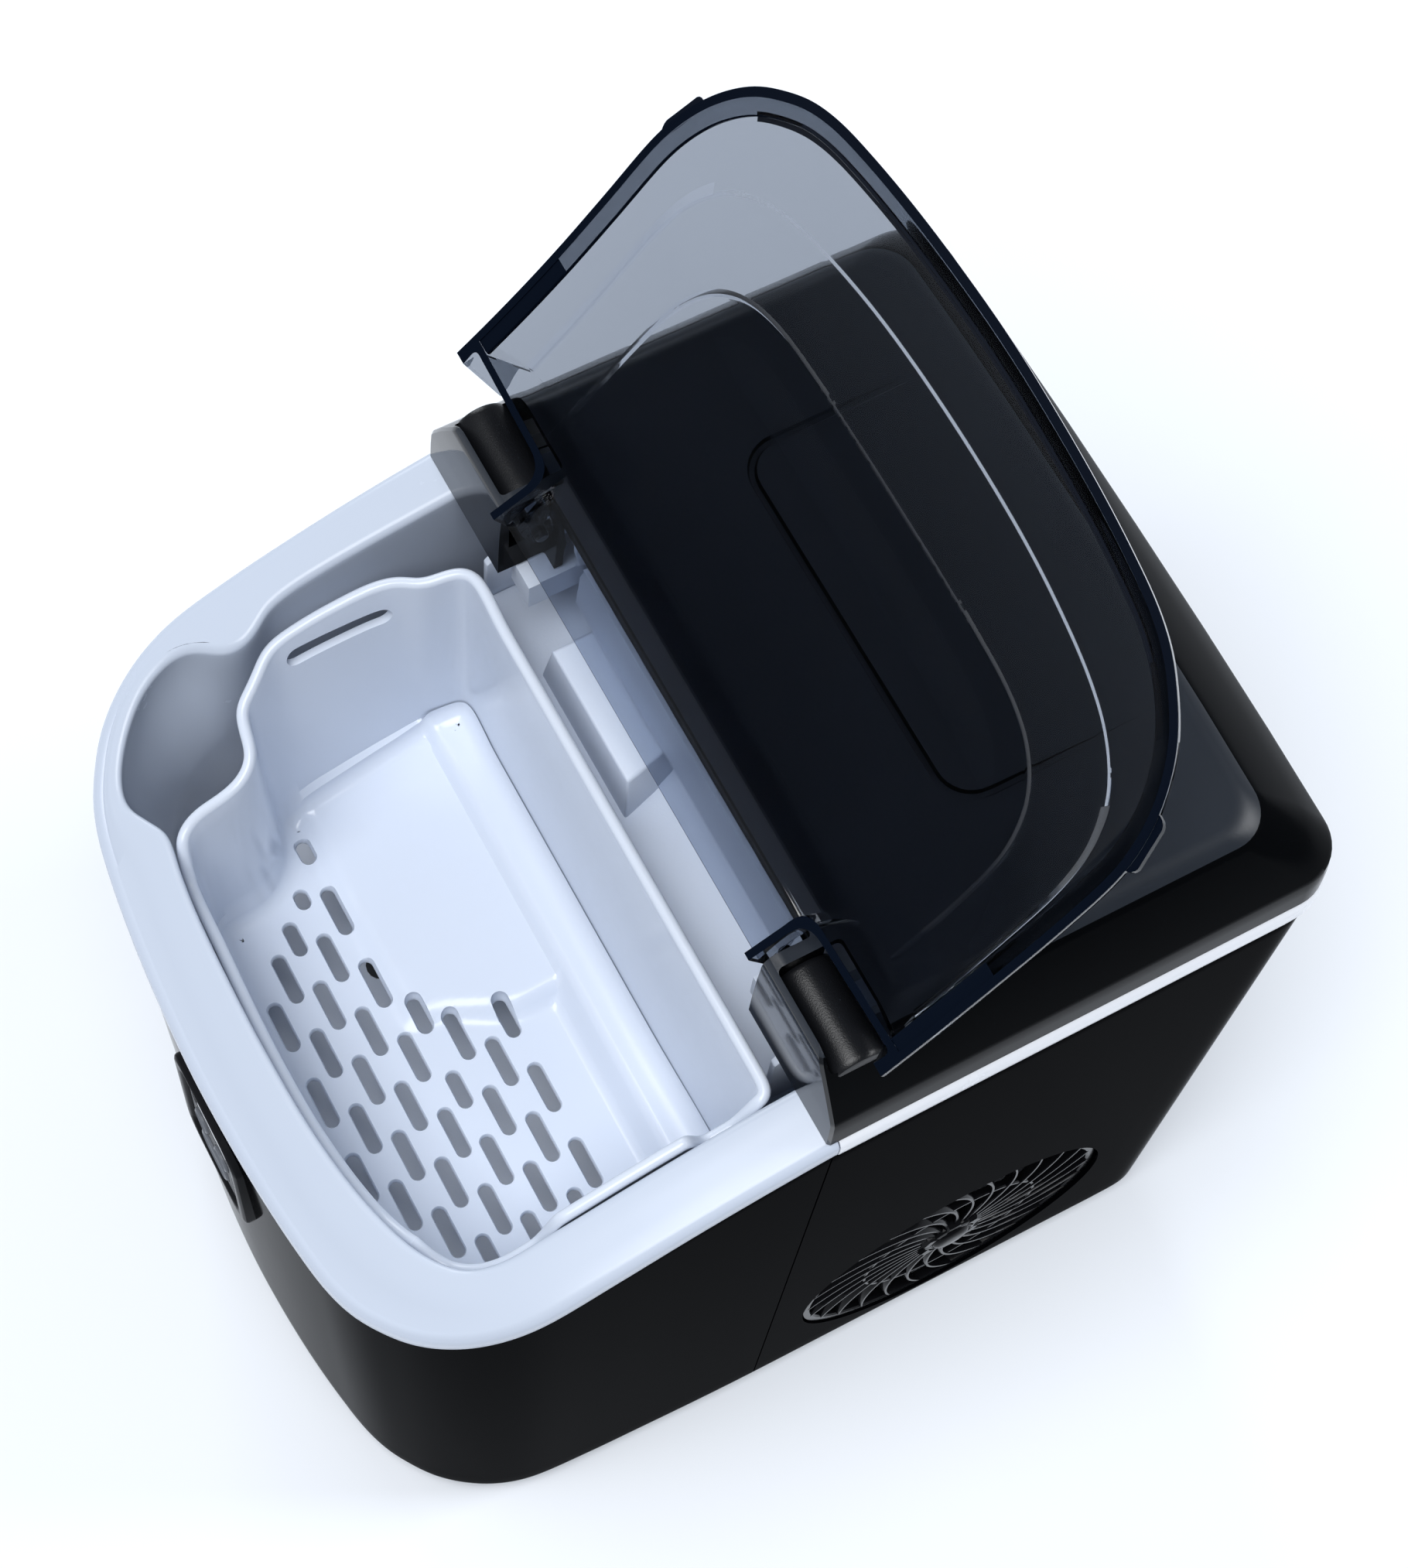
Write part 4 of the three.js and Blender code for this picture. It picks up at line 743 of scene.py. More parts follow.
def rear_cutters():
    cs = []
    p = [(67 + 53 * math.cos(a), -203 + 53 * math.sin(a)) for a in np.linspace(0, 2 * np.pi, 96, endpoint=False)]
    cs.append(prism("c", p, 90, 125, "x", MAT["shell"]))
    for i in range(9):
        z = -245 + i * 13
        cs.append(prism("c", slot_outline(79, z + 2.5, 78, 5, 8), -125, -95, "x", MAT["shell"]))
    for i in range(7):
        z = -118 + i * 11
        cs.append(prism("c", slot_outline(0, z + 2.25, 100, 4.5, 8), 140, 170, "y", MAT["shell"]))
    cs.append(prism("c", rrect(-84, -56, -244, -224, 3, 6), 140, 170, "y", MAT["shell"]))
    p = [(62 + 8.4 * math.cos(a), -238 + 8.4 * math.sin(a)) for a in np.linspace(0, 2 * np.pi, 48, endpoint=False)]
    cs.append(prism("c", p, 140, 170, "y", MAT["shell"]))
    return cs
shell_skin("rear_shell_skin", 1, MAT["shell"], ["rear_shell"], rear_cutters())

# ------------------------------------------------------------------ trim band
def make_trim():
    def u(extra, z):
        p = PLAN - PLAN_N * extra
        keep = PLAN[:, 1] > 1.9
        n = len(p); start = next(i for i in range(n) if keep[i] and not keep[i - 1])
        q = p[[(start + i) % n for i in range(int(keep.sum()))]].copy()
        q[0, 1] = q[-1, 1] = 1.9
        return ring3(q, z)
    rows = [u(0.7, -9.15), u(0.25, -9.0), u(0.05, -8.5), u(0.0, -6.4), u(0.0, -4.4)]
    for a in np.linspace(12, 90, 7):
        a = math.radians(a)
        rows.append(u(2.4 * (1 - math.cos(a)), -0.4 - 3.4 + 3.4 * math.sin(a)))
    rows += [u(5.0, -0.4), u(8.8, -0.4), u(9.0, -1.0), u(9.0, -8.8), u(8.6, -9.15), u(4.0, -9.15)]
    v, f = loft(rows + [rows[0]], False, False, wrap=False)
    n = len(rows[0]); R = len(rows)
    f += [tuple(k * n for k in range(R)), tuple(k * n + n - 1 for k in range(R))[::-1]]
    o = make("rear_trim_skin", v, f, MAT["trim"], "housing", 40)
    hide(o, "rear_trim_band")
make_trim()

# ------------------------------------------------------------------ rear cover with hinge ears
MAT["cover_gloss"] = plastic("gloss_black_chamfer", (0.0018, 0.0021, 0.0026), 0.14, 0.2, 0.05, 1800, 0.01, 40, ior=1.08, rough_vary=0.03)
def cover_loop(x, y0, y1, r, z, seg=10):
    pts = [(x - 0.8, y0), (x, y0 + 0.8)]
    cx, cy = x - r, y1 - 1.6 - r
    for i in range(seg + 1):
        a = math.radians(90 * i / seg)
        pts.append((cx + r * math.cos(a), cy + r * math.sin(a)))
    pts += [(x * 0.62, y1 - 0.7), (x * 0.32, y1 - 0.15), (0, y1)]
    left = [(-a, b) for a, b in pts[:-1]][::-1]
    return np.array([(a, b, z) for a, b in pts + left])
def make_cover():
    levels = [(110.15, -1.55, 156, 14.0, 0.05), (109.9, -1.5, 155.6, 14.0, 7), (109.5, -1.4, 155, 14.0, 12.5), (108.9, -1.35, 153.9, 13.8, 14.0), (104.5, -1.1, 147, 13.2, 22),
              (98.9, -0.6, 136.8, 12.2, 30.6), (97.4, -0.1, 134.4, 12, 32.4), (95.2, 1.2, 131.9, 11.6, 34.1), (93.2, 2.8, 129.8, 11.2, 34.8), (91.5, 4.4, 128.2, 11, 35.0)]
    v, f = loft([cover_loop(*l) for l in levels])
    o = make("rear_cover_skin", v, f, MAT["cover_gloss"], None, 30)
    inner = [(107.4, 15, 153, 12, -2), (106.8, 15, 152, 12, 12), (101.5, 15, 144, 11, 20.5), (95.5, 15, 133, 10, 28.6), (91, 15, 127, 9, 32.2)]
    v, f = loft([cover_loop(*l) for l in inner])
    cuts = [make("c", v, f, MAT["cover"], None, 30)]
    # front recess between the ears: back corners rounded
    cuts.append(prism("c", [(-69.4, -20), (69.4, -20)] + [(69.4, 12.2), (69.1, 12.7), (68.6, 12.9)] + [(-68.6, 12.9), (-69.1, 12.7), (-69.4, 12.2)], -5, 60, "z", MAT["cover"]))
    for s in (-1, 1):
        a, b = (73, 101) if s > 0 else (-101, -73)
        cuts.append(prism("c", rrect(a, b, 1.2, 19, 1.5, 5), 11.5, 60, "z", MAT["cover"]))
        a, b = (66, 72.8) if s > 0 else (-72.8, -66)
        cuts.append(prism("c", rrect(a, b, 1.6, 12.9, 0.6, 3), 12, 31, "z", MAT["cover"]))
    # open front between the ears, under a thin lip
    cuts.append(prism("c", [(-63.5, 6), (63.5, 6), (63.5, 17.5), (-63.5, 17.5)], -3, 31.2, "z", MAT["cover"]))
    # groove: a U-shaped line that fades towards the back
    depth = 1.3
    def gl(off):
        pts = []
        w, yb, r = 56.2 + off, 61.8 - off, 10.5 + off
        pts.append((-w, 118))
        pts.append((-w, yb + r))
        for i in range(9):
            a = math.radians(180 + 90 * i / 8)
            pts.append((-w + r + r * math.cos(a), yb + r + r * math.sin(a)))
        for i in range(9):
            a = math.radians(270 + 90 * i / 8)
            pts.append((w - r + r * math.cos(a), yb + r + r * math.sin(a)))
        pts.append((w, 118))
        return np.array(pts)
    wide, slim = 1.7, 0.7
    a, b = gl(wide), gl(-wide)
    c, d = gl(slim), gl(-slim)
    n = len(a)
    # cross-section: wide at the surface, narrow at the bottom, shallower towards the back
    fade = np.clip((118 - a[:, 1]) / 30.0, 0.0, 1.0)
    zt, zb = 36.0, 35.0 - depth * fade + 0.02
    v = np.concatenate([ring3(a, zt), ring3(b, zt), ring3(c, zb), ring3(d, zb)])
    f = []
    for i in range(n - 1):
        j = i + 1
        f += [(i, j, n + j, n + i), (i, 2 * n + i, 2 * n + j, j), (n + i, n + j, 3 * n + j, 3 * n + i), (2 * n + i, 3 * n + i, 3 * n + j, 2 * n + j)]
    for e in (0, n - 1):
        f.append((e, n + e, 3 * n + e, 2 * n + e))
    cuts.append(make("c", v, f, MAT["cover"]))
    carve(o, cuts)
    try:
        bevel(o, 0.55, 2, 26)
    except Exception as e:
        print("bevel", e)
    # matte top and glossy slot walls at the ears
    me = o.data
    me.materials.append(MAT["cover"])
    MAT["ear"] = plastic("ear_gloss_black", (0.006, 0.007, 0.009), 0.07, 0.2, 0.05, 1800, 0.01, 40, ior=1.5, rough_vary=0.03)
    me.materials.append(MAT["ear"])
    for p in me.polygons:
        c = (np.array(p.center) * 1000) - SHIFT
        if c[2] > 31.8 and p.normal.z > 0.55 and c[1] > 0:
            p.material_index = 1
        elif c[1] < 7 and p.normal.y < -0.5 and abs(c[0]) > 60:
            p.material_index = 2
    shade(o, 28)
    even_normals(o)
    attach(o, "housing")
    hide(o, "rear_cover")
    # straight front lip of the cover's top, over the opening
    lip = prism("cover_front_lip", [(12.3, 30.9), (13.6, 30.9), (13.6, 34.95), (12.95, 34.95), (12.6, 34.8), (12.38, 34.5), (12.3, 34.1)], -69.2, 69.2, "x", MAT["cover_gloss"])
    shade(lip, 40)
    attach(lip, "housing")
    # barrels with rounded ends, satin like the top
    for s, nm in ((-1, "left"), (1, "right")):
        x0, x1 = 72.3, 101.9
        prof = [(0, x0), (7.4, x0), (8.1, x0 + 0.3), (8.5, x0 + 1.0)] + [(8.6, x0 + 2 + (x1 - x0 - 4) * k) for k in np.linspace(0, 1, 8)] + [(8.5, x1 - 1.0), (8.1, x1 - 0.3), (7.4, x1), (0, x1)]
        if s < 0:
            prof = [(r, -h) for r, h in prof][::-1]
        b = lathe("hinge_barrel_" + nm, prof, "x", (0, 9.6, 21.6), MAT["hinge"], 56, "housing", 35)
make_cover()

# ------------------------------------------------------------------ lid, built closed and swung open
# painted shade: a near-black navy for the edge-on faces of the smoked lid, standing in for the light lost along the
# long path through the plastic
MAT["smoke_edge"] = plastic("smoke_edge_navy", (0.0022, 0.0042, 0.0095), 0.14, 0.1, 0.0, 900, 0.005, 30, ior=1.12)
MAT["smoke_line"] = plastic("smoke_ridge_line", (0.30, 0.33, 0.39), 0.05, 0.03, 0.0, 900, 0.0, 20, trans=1.0, ior=1.5, spec=0.5, rough_vary=0.0)
# painted light: a clearer, lighter copy of the lid's smoke tint for the strip along the hinge line, so that the white
# interior behind it shows brighter
MAT["smoke_strip"] = plastic("smoke_strip_clear", (0.52, 0.57, 0.66), 0.02, 0.03, 0.0, 900, 0.0, 20, trans=1.0, ior=1.5, spec=0.5, rough_vary=0.0)
LID_OPEN, HINGE = math.radians(149.8), np.array([0.0, 8.8, 21.4])
RING_A = [(0, -104.5), (30, -103.6), (50, -101.5), (68, -98.2), (80, -94), (90, -87), (97, -76), (99.6, -64), (100.4, -40), (100.6, -12), (100.6, 12.2)]
RING_B = [(0, -80.5), (36, -80), (56, -78.6), (68, -75), (77, -68), (82.4, -57), (84, -44), (84.4, -20), (84.5, 12.2)]
def open_lid(v):
    q = np.asarray(v, float) - HINGE
    c, s = math.cos(-LID_OPEN), math.sin(-LID_OPEN)
    return np.column_stack([q[:, 0], c * q[:, 1] - s * q[:, 2], s * q[:, 1] + c * q[:, 2]]) + HINGE
def u_line(pts, n):
    right = [(x, y) for x, y in pts][::-1]
    left = [(-x, y) for x, y in pts[1:]]
    return soften(resample(catmull(right + left, closed=False), n, closed=False), n / 160.0, closed=False)
def lid_rings(n, inset=0.0, drop=0.0, rear=12.2, under=None):
    rim_pts = [(0, -128.5)] + [(max(0, x - 0.6), -y + 0.4) for x, y in HALF[::-1][1:-1]] + [(110.8, 0.0), (110.8, rear)]
    rim = u_line(rim_pts, n); a = u_line(RING_A[:-1] + [(100.6, rear)], n); b = u_line(RING_B[:-1] + [(84.5, rear)], n)
    nr, na, nb = normals2(rim, False), normals2(a, False), normals2(b, False)
    rim_i = rim - nr * inset; a_i = a - na * inset * 0.75; b_i = b - nb * inset * 0.3
    hA = lambda y: 13 + 4.5 * np.clip((y + 102) / 87.0, 0, 1)
    hB = lambda y: 17.5 + 3.2 * np.clip((y + 79) / 64.0, 0, 1)
    zr, za, zb = deck_z(rim[:, 1]), deck_z(a[:, 1]) + hA(a[:, 1]) - drop, deck_z(b[:, 1]) + hB(b[:, 1]) - drop
    R0 = np.column_stack([rim_i, zr + 0.9]); R1 = np.column_stack([rim_i * 0.998, zr + 4.2])
    A = np.column_stack([a_i, za]); B = np.column_stack([b_i, zb])
    rows = []
    if under is not None:
        rows.append(np.column_stack([rim_i, np.full(n, under)]))
    rows.append(R0)
    def mix(p, q, k): return p * (1 - k) + q * k
    def fillet(prev, mid, nxt, r):
        """three points round a ridge"""
        out = []
        for k in np.linspace(0, 1, 7):
            p = mix(mid, prev, r); q = mix(mid, nxt, r)
            out.append((1 - k) ** 2 * p + 2 * k * (1 - k) * mid + k * k * q)
        return out
    rows += fillet(R0, R1, A, 0.10)
    bow = lambda p, q, k, h: mix(p, q, k) + np.array([0, 0, 1.0]) * (h * 4 * k * (1 - k))
    for k in (0.2, 0.35, 0.5, 0.65, 0.8):
        rows.append(bow(R1, A, k, 0.5))
    rows += fillet(R1, A, B, 0.055)
    for k in (0.25, 0.5, 0.75):
        rows.append(bow(A, B, k, 0.35))
    fb = fillet(A, B, mix(B, np.array([0, 0, 0.0]), 0.0) + np.column_stack([-nb * 8, np.zeros(n)]), 0.10)
    rows += fb
    last = rows[-1]
    mid_x = np.clip(last[:, 0], -1, 1)
    for k in (0.08, 0.2, 0.35, 0.5, 0.65, 0.8, 0.92):
        p = last.copy()
        p[:, 0] = last[:, 0] * (1 - k)
        p[:, 1] = last[:, 1] * (1 - k) + rear * k
        p[:, 2] = deck_z(p[:, 1]) + hB(p[:, 1]) - drop + 0.9 * (1 - (1 - k) ** 2)
        rows.append(p)
    out = []
    for r in rows:
        r = r.copy()
        r[:, 1] = np.minimum(r[:, 1], rear)
        r[0, 1] = r[-1, 1] = rear
        out.append(r)
    return out, rim, nr
def lid_block(name, n, inset, drop, rear, under=None):
    rows, rim, nr = lid_rings(n, inset, drop, rear, under)
    v, f = loft(rows, False, False, wrap=False)
    N = n; R = len(rows)
    # close the back and the bottom
    c_top = len(v); v = np.concatenate([v, [[0, rear, rows[-1][0, 2]]]])
    f += [((R - 1) * N + i, (R - 1) * N + i + 1, c_top) for i in range(N - 1)]
    back = [k * N for k in range(R)] + [c_top] + [k * N + N - 1 for k in range(R)][::-1]
    f.append(tuple(back))
    # bottom: strips across from right to left
    for i in range(N // 2 - 1):
        f.append((i, i + 1, N - 2 - i, N - 1 - i))
    if N % 2:
        f.append((N // 2 - 1, N // 2, N // 2 + 1))
    return make(name, v, f, MAT["smoke"])
def pocket(s, d):
    def rounded(pts, r, z):
        """open corner list rounded"""
        out = []
        n = len(pts)
        for i, p in enumerate(pts):
            r_ = r if i == 1 else r * 0.3
            a, b = np.array(pts[i - 1]), np.array(pts[(i + 1) % n]); p = np.array(p, float)
            ua, ub = a - p, b - p
            la, lb = np.linalg.norm(ua), np.linalg.norm(ub)
            k = min(r_, la * 0.45, lb * 0.45)
            p0, p1 = p + ua / la * k, p + ub / lb * k
            for t in np.linspace(0, 1, 7):
                out.append((1 - t) ** 2 * p0 + 2 * t * (1 - t) * p + t * t * p1)
        o = np.array(out)
        return np.column_stack([s * o[:, 0], o[:, 1], np.full(len(o), float(z))])
    low = [(68.6 - d, 30), (68.6 - d, -5.6 - d), (107.6 + d, -7.0 - d), (107.6 + d, 30)]
    top = [(68.6 - d, 30), (68.6 - d, -14.6 - d), (100.6 + d, -14.6 - d), (100.6 + d, 30)]
    lo, hi = rounded(low, 7, -14), rounded(top, 9, 18)
    rows = [lo, rounded(low, 7, -1)] + [rounded([(a[0] * (1 - k) + b[0] * k, a[1] * (1 - k) + b[1] * k) for a, b in zip(low, top)], 7 + 2 * k, -1 + 19 * k) for k in (0.25, 0.5, 0.75)] + [hi, rounded(top, 9, 44)]
    v, f = loft(rows)
    return make("c", v, f, MAT["smoke"], None, 40)
def channel(d):
    ys = [-15.5 - d * 0.3, -14.2 - 0.2 * d, -12.5, -10, -7.5, -5, -2.5, 0, 2, 4, 6, 8, 11, 14, 17, 20]
    zs = [24.2, 17.6 - d, 15.6 - d, 13.3 - d, 11.2 - d, 9.7 - d, 8.8 - d, 8.3 - d, 8.2 - d, 8.4 - d, 8.9 - d, 9.6 - d, 10.6 - d, 11.5 - d, 12.5 - d, 13.4 - d]
    pts = list(zip(ys, zs)) + [(20, 60), (-15.5 - d * 0.3, 60)]
    return prism("c", pts, -76, 76, "x", MAT["smoke"])
def make_lid():
    n = 361
    outer = lid_block("lid_skin", n, 0.0, 0.0, 12.2)
    carve(outer, [pocket(1, 0), pocket(-1, 0), channel(0)])
    inner = lid_block("c", n, 2.2, 2.2, 26.0, under=-70)
    carve(inner, [pocket(1, 2.2), pocket(-1, 2.2), channel(2.2)])
    carve(outer, [inner])
    for sx in (1, -1):
        carve(outer, [prism("c", [(98 * sx, -1.9), (140 * sx, -1.9), (140 * sx, 30), (98 * sx, 30)], -20, 60, "z", MAT["smoke"])])
    # inner step of the rim
    rows, rim, nr = lid_rings(n)
    z = deck_z(rim[:, 1])
    y_ok = rim[:, 1] < -9.0
    rim2, nr2, z2 = rim[y_ok], nr[y_ok], z[y_ok]
    prof = [(1.0, 0.95), (1.6, 0.75), (5.2, 0.75), (6.0, 1.0), (6.2, 1.6), (6.0, 2.6), (5.4, 3.0), (1.6, 3.0), (1.0, 2.6)]
    band = [np.column_stack([rim2 - nr2 * a, deck_z((rim2 - nr2 * a)[:, 1]) + 0.45 + b]) for a, b in prof]
    v, f = loft(band + [band[0]], False, False, wrap=False)
    m = len(rim2); K = len(band)
    f += [tuple(k * m for k in range(K)), tuple(k * m + m - 1 for k in range(K))[::-1]]
    flange = make("c", v, f, MAT["smoke"], None, 40)
    parts = [flange]
    # hinge arms with round bosses
    for s in (-1, 1):
        pts = [(8.8 + 3.7 * math.cos(a), 21.4 + 3.7 * math.sin(a)) for a in np.linspace(-0.35, math.pi + 0.9, 22)]
        pts += [(1.5, 14), (0.0, 8.6), (1.6, 7.2), (9.6, 8.9), (11.6, 15.5)]
        a, b = (64.7, 68.3) if s > 0 else (-68.3, -64.7)
        parts.append(prism("c", pts, a, b, "x", MAT["smoke"]))
    # latch tabs
    for (x0, y0, x1, y1, ox, oy) in ((-108.6, -81.5, -104.2, -96.4, -2.7, -1.5), (104.2, -96.4, 108.7, -81.5, 2.8, -0.9)):
        rows = []
        base0, base1 = np.array([x0, y0]), np.array([x1, y1])
        out = np.array([ox, oy], float)
        k = np.linspace(0, 1, 19)
        shape = np.clip(np.minimum(k, 1 - k) / 0.14, 0, 1) ** 0.5
        line = base0 + (base1 - base0) * k[:, None]
        inn = line - out * 0.35
        outp = line + out * shape[:, None]
        zz = deck_z(line[:, 1])
        sec = [np.column_stack([inn, zz + 1.5]), np.column_stack([outp, zz + 1.5]), np.column_stack([outp, zz + 3.9]), np.column_stack([inn, zz + 4.1])]
        v, f = loft(sec + [sec[0]], False, False, wrap=False)
        f += [tuple(q * 19 for q in range(4)), tuple(q * 19 + 18 for q in range(4))[::-1]]
        parts.append(make("c", v, f, MAT["smoke"]))
    for q in parts[1:]:
        carve(outer, [q], "UNION")
    bm = bmesh.new(); bm.from_mesh(outer.data); bm.from_mesh(flange.data)
    bm.to_mesh(outer.data); bm.free()
    d = flange.data; bpy.data.objects.remove(flange); bpy.data.meshes.remove(d)
    me = outer.data
    me.materials.append(MAT["smoke_edge"])
    co = np.zeros(len(me.vertices) * 3); me.vertices.foreach_get("co", co)
    v = co.reshape(-1, 3) * 1000 - SHIFT
    rimc = rim
    me.materials.append(MAT["smoke_line"])
    me.materials.append(MAT["smoke_strip"])
    ridges = np.concatenate([u_line(RING_A, 900), u_line(RING_B, 900)])
    for p in me.polygons:
        c = np.array(p.center) * 1000 - SHIFT
        h = c[2] - float(deck_z(c[1]))
        # rim underside and the wall of its inner step get the painted dark edge
        if c[1] < 12.0 and h < 4.4:
            d = float(np.min(np.hypot(rimc[:, 0] - c[0], rimc[:, 1] - c[1])))
            n_ = p.normal
            if d < 2.4 and (n_.z < -0.5):
                p.material_index = 1
            elif 5.5 < d < 6.5 and h > 0.7 and abs(n_.z) < 0.75:
                p.material_index = 1
        elif h > 9 and c[1] < 6 and float(np.min(np.hypot(ridges[:, 0] - c[0], ridges[:, 1] - c[1]))) < 0.55:
            p.material_index = 2
        # lower edges of the pocket walls get the painted dark edge
        if p.normal.z < -0.8 and h < 1.6 and c[1] > -40:
            p.material_index = 1
        # thin strip along the hinge line, with the lighter painted-light tint
        if -7.5 < c[1] < 12.1 and abs(c[0]) < 64.5 and c[2] < 14.5:
            p.material_index = 3
        # the strip's rear edge gets the painted dark edge
        if abs(c[1] - 12.2) < 0.05 and abs(p.normal.y) > 0.9:
            p.material_index = 1
    for vert, q in zip(me.vertices, T(open_lid(v))):
        vert.co = q
    me.update()
    shade(outer, 30)
    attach(outer, "lid")
    hide(outer, "lid")
make_lid()

# ------------------------------------------------------------------ round side vent and the fan behind it
VY, VZ = 67.0, -203.0
MAT["vent_dark"] = plastic("vent_gloss_black", (0.004, 0.0042, 0.005), 0.16, 0.2, 0.1, 1500, 0.02, 60, ior=1.16)
def ring_x(profile, seg=96):
    """closed profile of (radius, x) turned round the vent axis"""
    rows = []
    for r, x in profile + [profile[0]]:
        a = np.linspace(0, 2 * np.pi, seg, endpoint=False)
        rows.append(np.column_stack([np.full(seg, float(x)), VY + r * np.cos(a), VZ + r * np.sin(a)]))
    v, f = loft(rows, False, False)
    return make("c", v, f, MAT["vent_dark"], None, 35)
def swirl_fin(a0, r0, r1, sweep, w, x0, x1, twist=0.0, n=18, lean=0.0):
    """curved rib from the hub to the rim; w is its width, x0..x1 its depth, lean shears its outer edge along the turn"""
    rows = []
    for k in np.linspace(0, 1, n):
        r = r0 + (r1 - r0) * k
        a = a0 + sweep * k ** 1.4
        c, s = math.cos(a), math.sin(a)
        hw = w / 2
        sec = [(-hw * 0.55 + lean, x1), (hw * 0.55 + lean, x1), (hw + lean * 0.8, x1 - 0.5), (hw, x0), (-hw, x0), (-hw + lean * 0.8, x1 - 0.5)]
        rows.append(np.array([[x, VY + r * c - t * s, VZ + r * s + t * c] for t, x in sec]))
    v, f = loft(rows)
    return make("c", v, f, MAT["vent_dark"], None, 30)
def make_vent():
    parts = [ring_x([(52.55, 104.7), (52.55, 107.6), (52.3, 107.9), (50.2, 107.9), (49.7, 107.4), (49.4, 104.7)]),
             ring_x([(31.2, 105.4), (31.2, 107.2), (30.8, 107.7), (30.0, 107.7), (29.6, 107.2), (29.6, 105.4)])]
    for i in range(26):
        parts.append(swirl_fin(2 * math.pi * i / 26, 8.2, 50.6, math.radians(30), 1.5, 104.9, 108.0, lean=0.9))
    hub = lathe("c", [(0, 103.2), (9.2, 103.2), (9.5, 103.6), (9.5, 108.0), (9.1, 108.7), (8.2, 109.0), (7.4, 109.0), (6.9, 108.5), (6.6, 108.4), (6.2, 109.3), (5.2, 110.0), (3.2, 110.3), (0, 110.4)], "x", (0, VY, VZ), MAT["vent_dark"], 48)
    parts.append(hub)
    for i in range(6):
        a = 2 * math.pi * (i + 0.5) / 6
        c, s = math.cos(a), math.sin(a)
        o = [(12.4, -2.4), (12.4, 2.4), (8.9, 3.4), (8.9, -3.4)]
        rows = [np.array([[x, VY + (r - q) * c - t * (1 - 0.12 * q) * s, VZ + (r - q) * s + t * (1 - 0.12 * q) * c] for r, t in o]) for x, q in ((104.2, 0), (107.0, 0), (109.0, 1.6))]
        v, f = loft(rows)
        parts.append(make("c", v, f, MAT["vent_dark"], None, 20))
    o = merge("side_vent_grille_skin", parts, MAT["vent_dark"])
    shade(o, 32)
    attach(o, "housing")
    hide(o, "side_vent_grille")
make_vent()

MAT["fan"] = plastic("fan_grey_plastic", (0.045, 0.047, 0.054), 0.24, 0.12, 0.15, 1500, 0.03, 60, ior=1.42)
def make_fan():
    """seven curved blades on a round hub"""
    parts = [lathe("c", [(2.8, 87.0), (12.4, 87.0), (13.0, 87.6), (13.0, 96.4), (12.2, 98.4), (10.2, 100.2), (7.0, 100.9), (0, 101.0), (0, 96.8), (2.8, 96.6)], "x", (0, VY, VZ), MAT["fan"], 48)]
    for i in range(7):
        a0 = 2 * math.pi * i / 7
        rows = []
        for k in np.linspace(0, 1, 14):
            r = 11.5 + (46.6 - 11.5) * k
            half = 5.2 + 11.0 * math.sin(min(1, 0.25 + k * 0.95) * math.pi / 2) * (1 - 0.45 * k ** 4)
            pitch = math.radians(48 - 20 * k)
            sweep = a0 + math.radians(16) * k * k
            sec = []
            for u in np.linspace(-1, 1, 9):
                sec.append((u, 1))
            for u in np.linspace(1, -1, 9)[1:-1]:
                sec.append((u, -1))
            ring = []
            for u, side in sec:
                th = 0.75 * (1 - u * u) ** 0.5 * (1 - 0.35 * k) + 0.18
                camber = 2.2 * (1 - u * u)
                t = u * half * math.cos(pitch) * 0.86
                x = 94.6 - u * half * math.sin(pitch) * 0.48 + (camber if True else 0) * 0.6 + side * th
                ang = sweep + t / r
                ring.append([min(x, 100.4), VY + r * math.cos(ang), VZ + r * math.sin(ang)])
            rows.append(np.array(ring))
        v, f = loft(rows)
        parts.append(make("c", v, f, MAT["fan"], None, 40))
    o = merge("fan_impeller_skin", parts, MAT["fan"])
    shade(o, 40)
    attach(o, "fan_impeller")
    hide(o, "fan_impeller")
make_fan()

# ------------------------------------------------------------------ front control panel
MAT["bezel"] = plastic("bezel_gloss_black", (0.010, 0.0105, 0.012), 0.12, 0.2, 0.0, 1500, 0.01, 60, ior=1.03)
MAT["face"] = plastic("panel_face_dark", (0.022, 0.024, 0.028), 0.3, 0.05, 0.0, 2200, 0.0, 60, ior=1.1)
MAT["pill"] = plastic("button_satin_grey", (0.13, 0.14, 0.16), 0.3, 0.04, 0.0, 1800, 0.0, 60, ior=1.2)
def rr_grow(half_x, z0, z1, r, n=9):
    return np.array(rrect(-half_x, half_x, z0, z1, r, n))
def y_rows(levels, mat, name, cx=0.0, cz=0.0, body=None, angle=32, caps=(True, True)):
    """levels: (half_x, z0, z1, radius, y)"""
    rows = []
    for hx, z0, z1, r, y in levels:
        p = rr_grow(hx, z0, z1, r)
        rows.append(np.column_stack([p[:, 0] + cx, np.full(len(p), float(y)), p[:, 1] + cz]))
    v, f = loft(rows, *caps)
    return make(name, v, f, mat, body, angle)
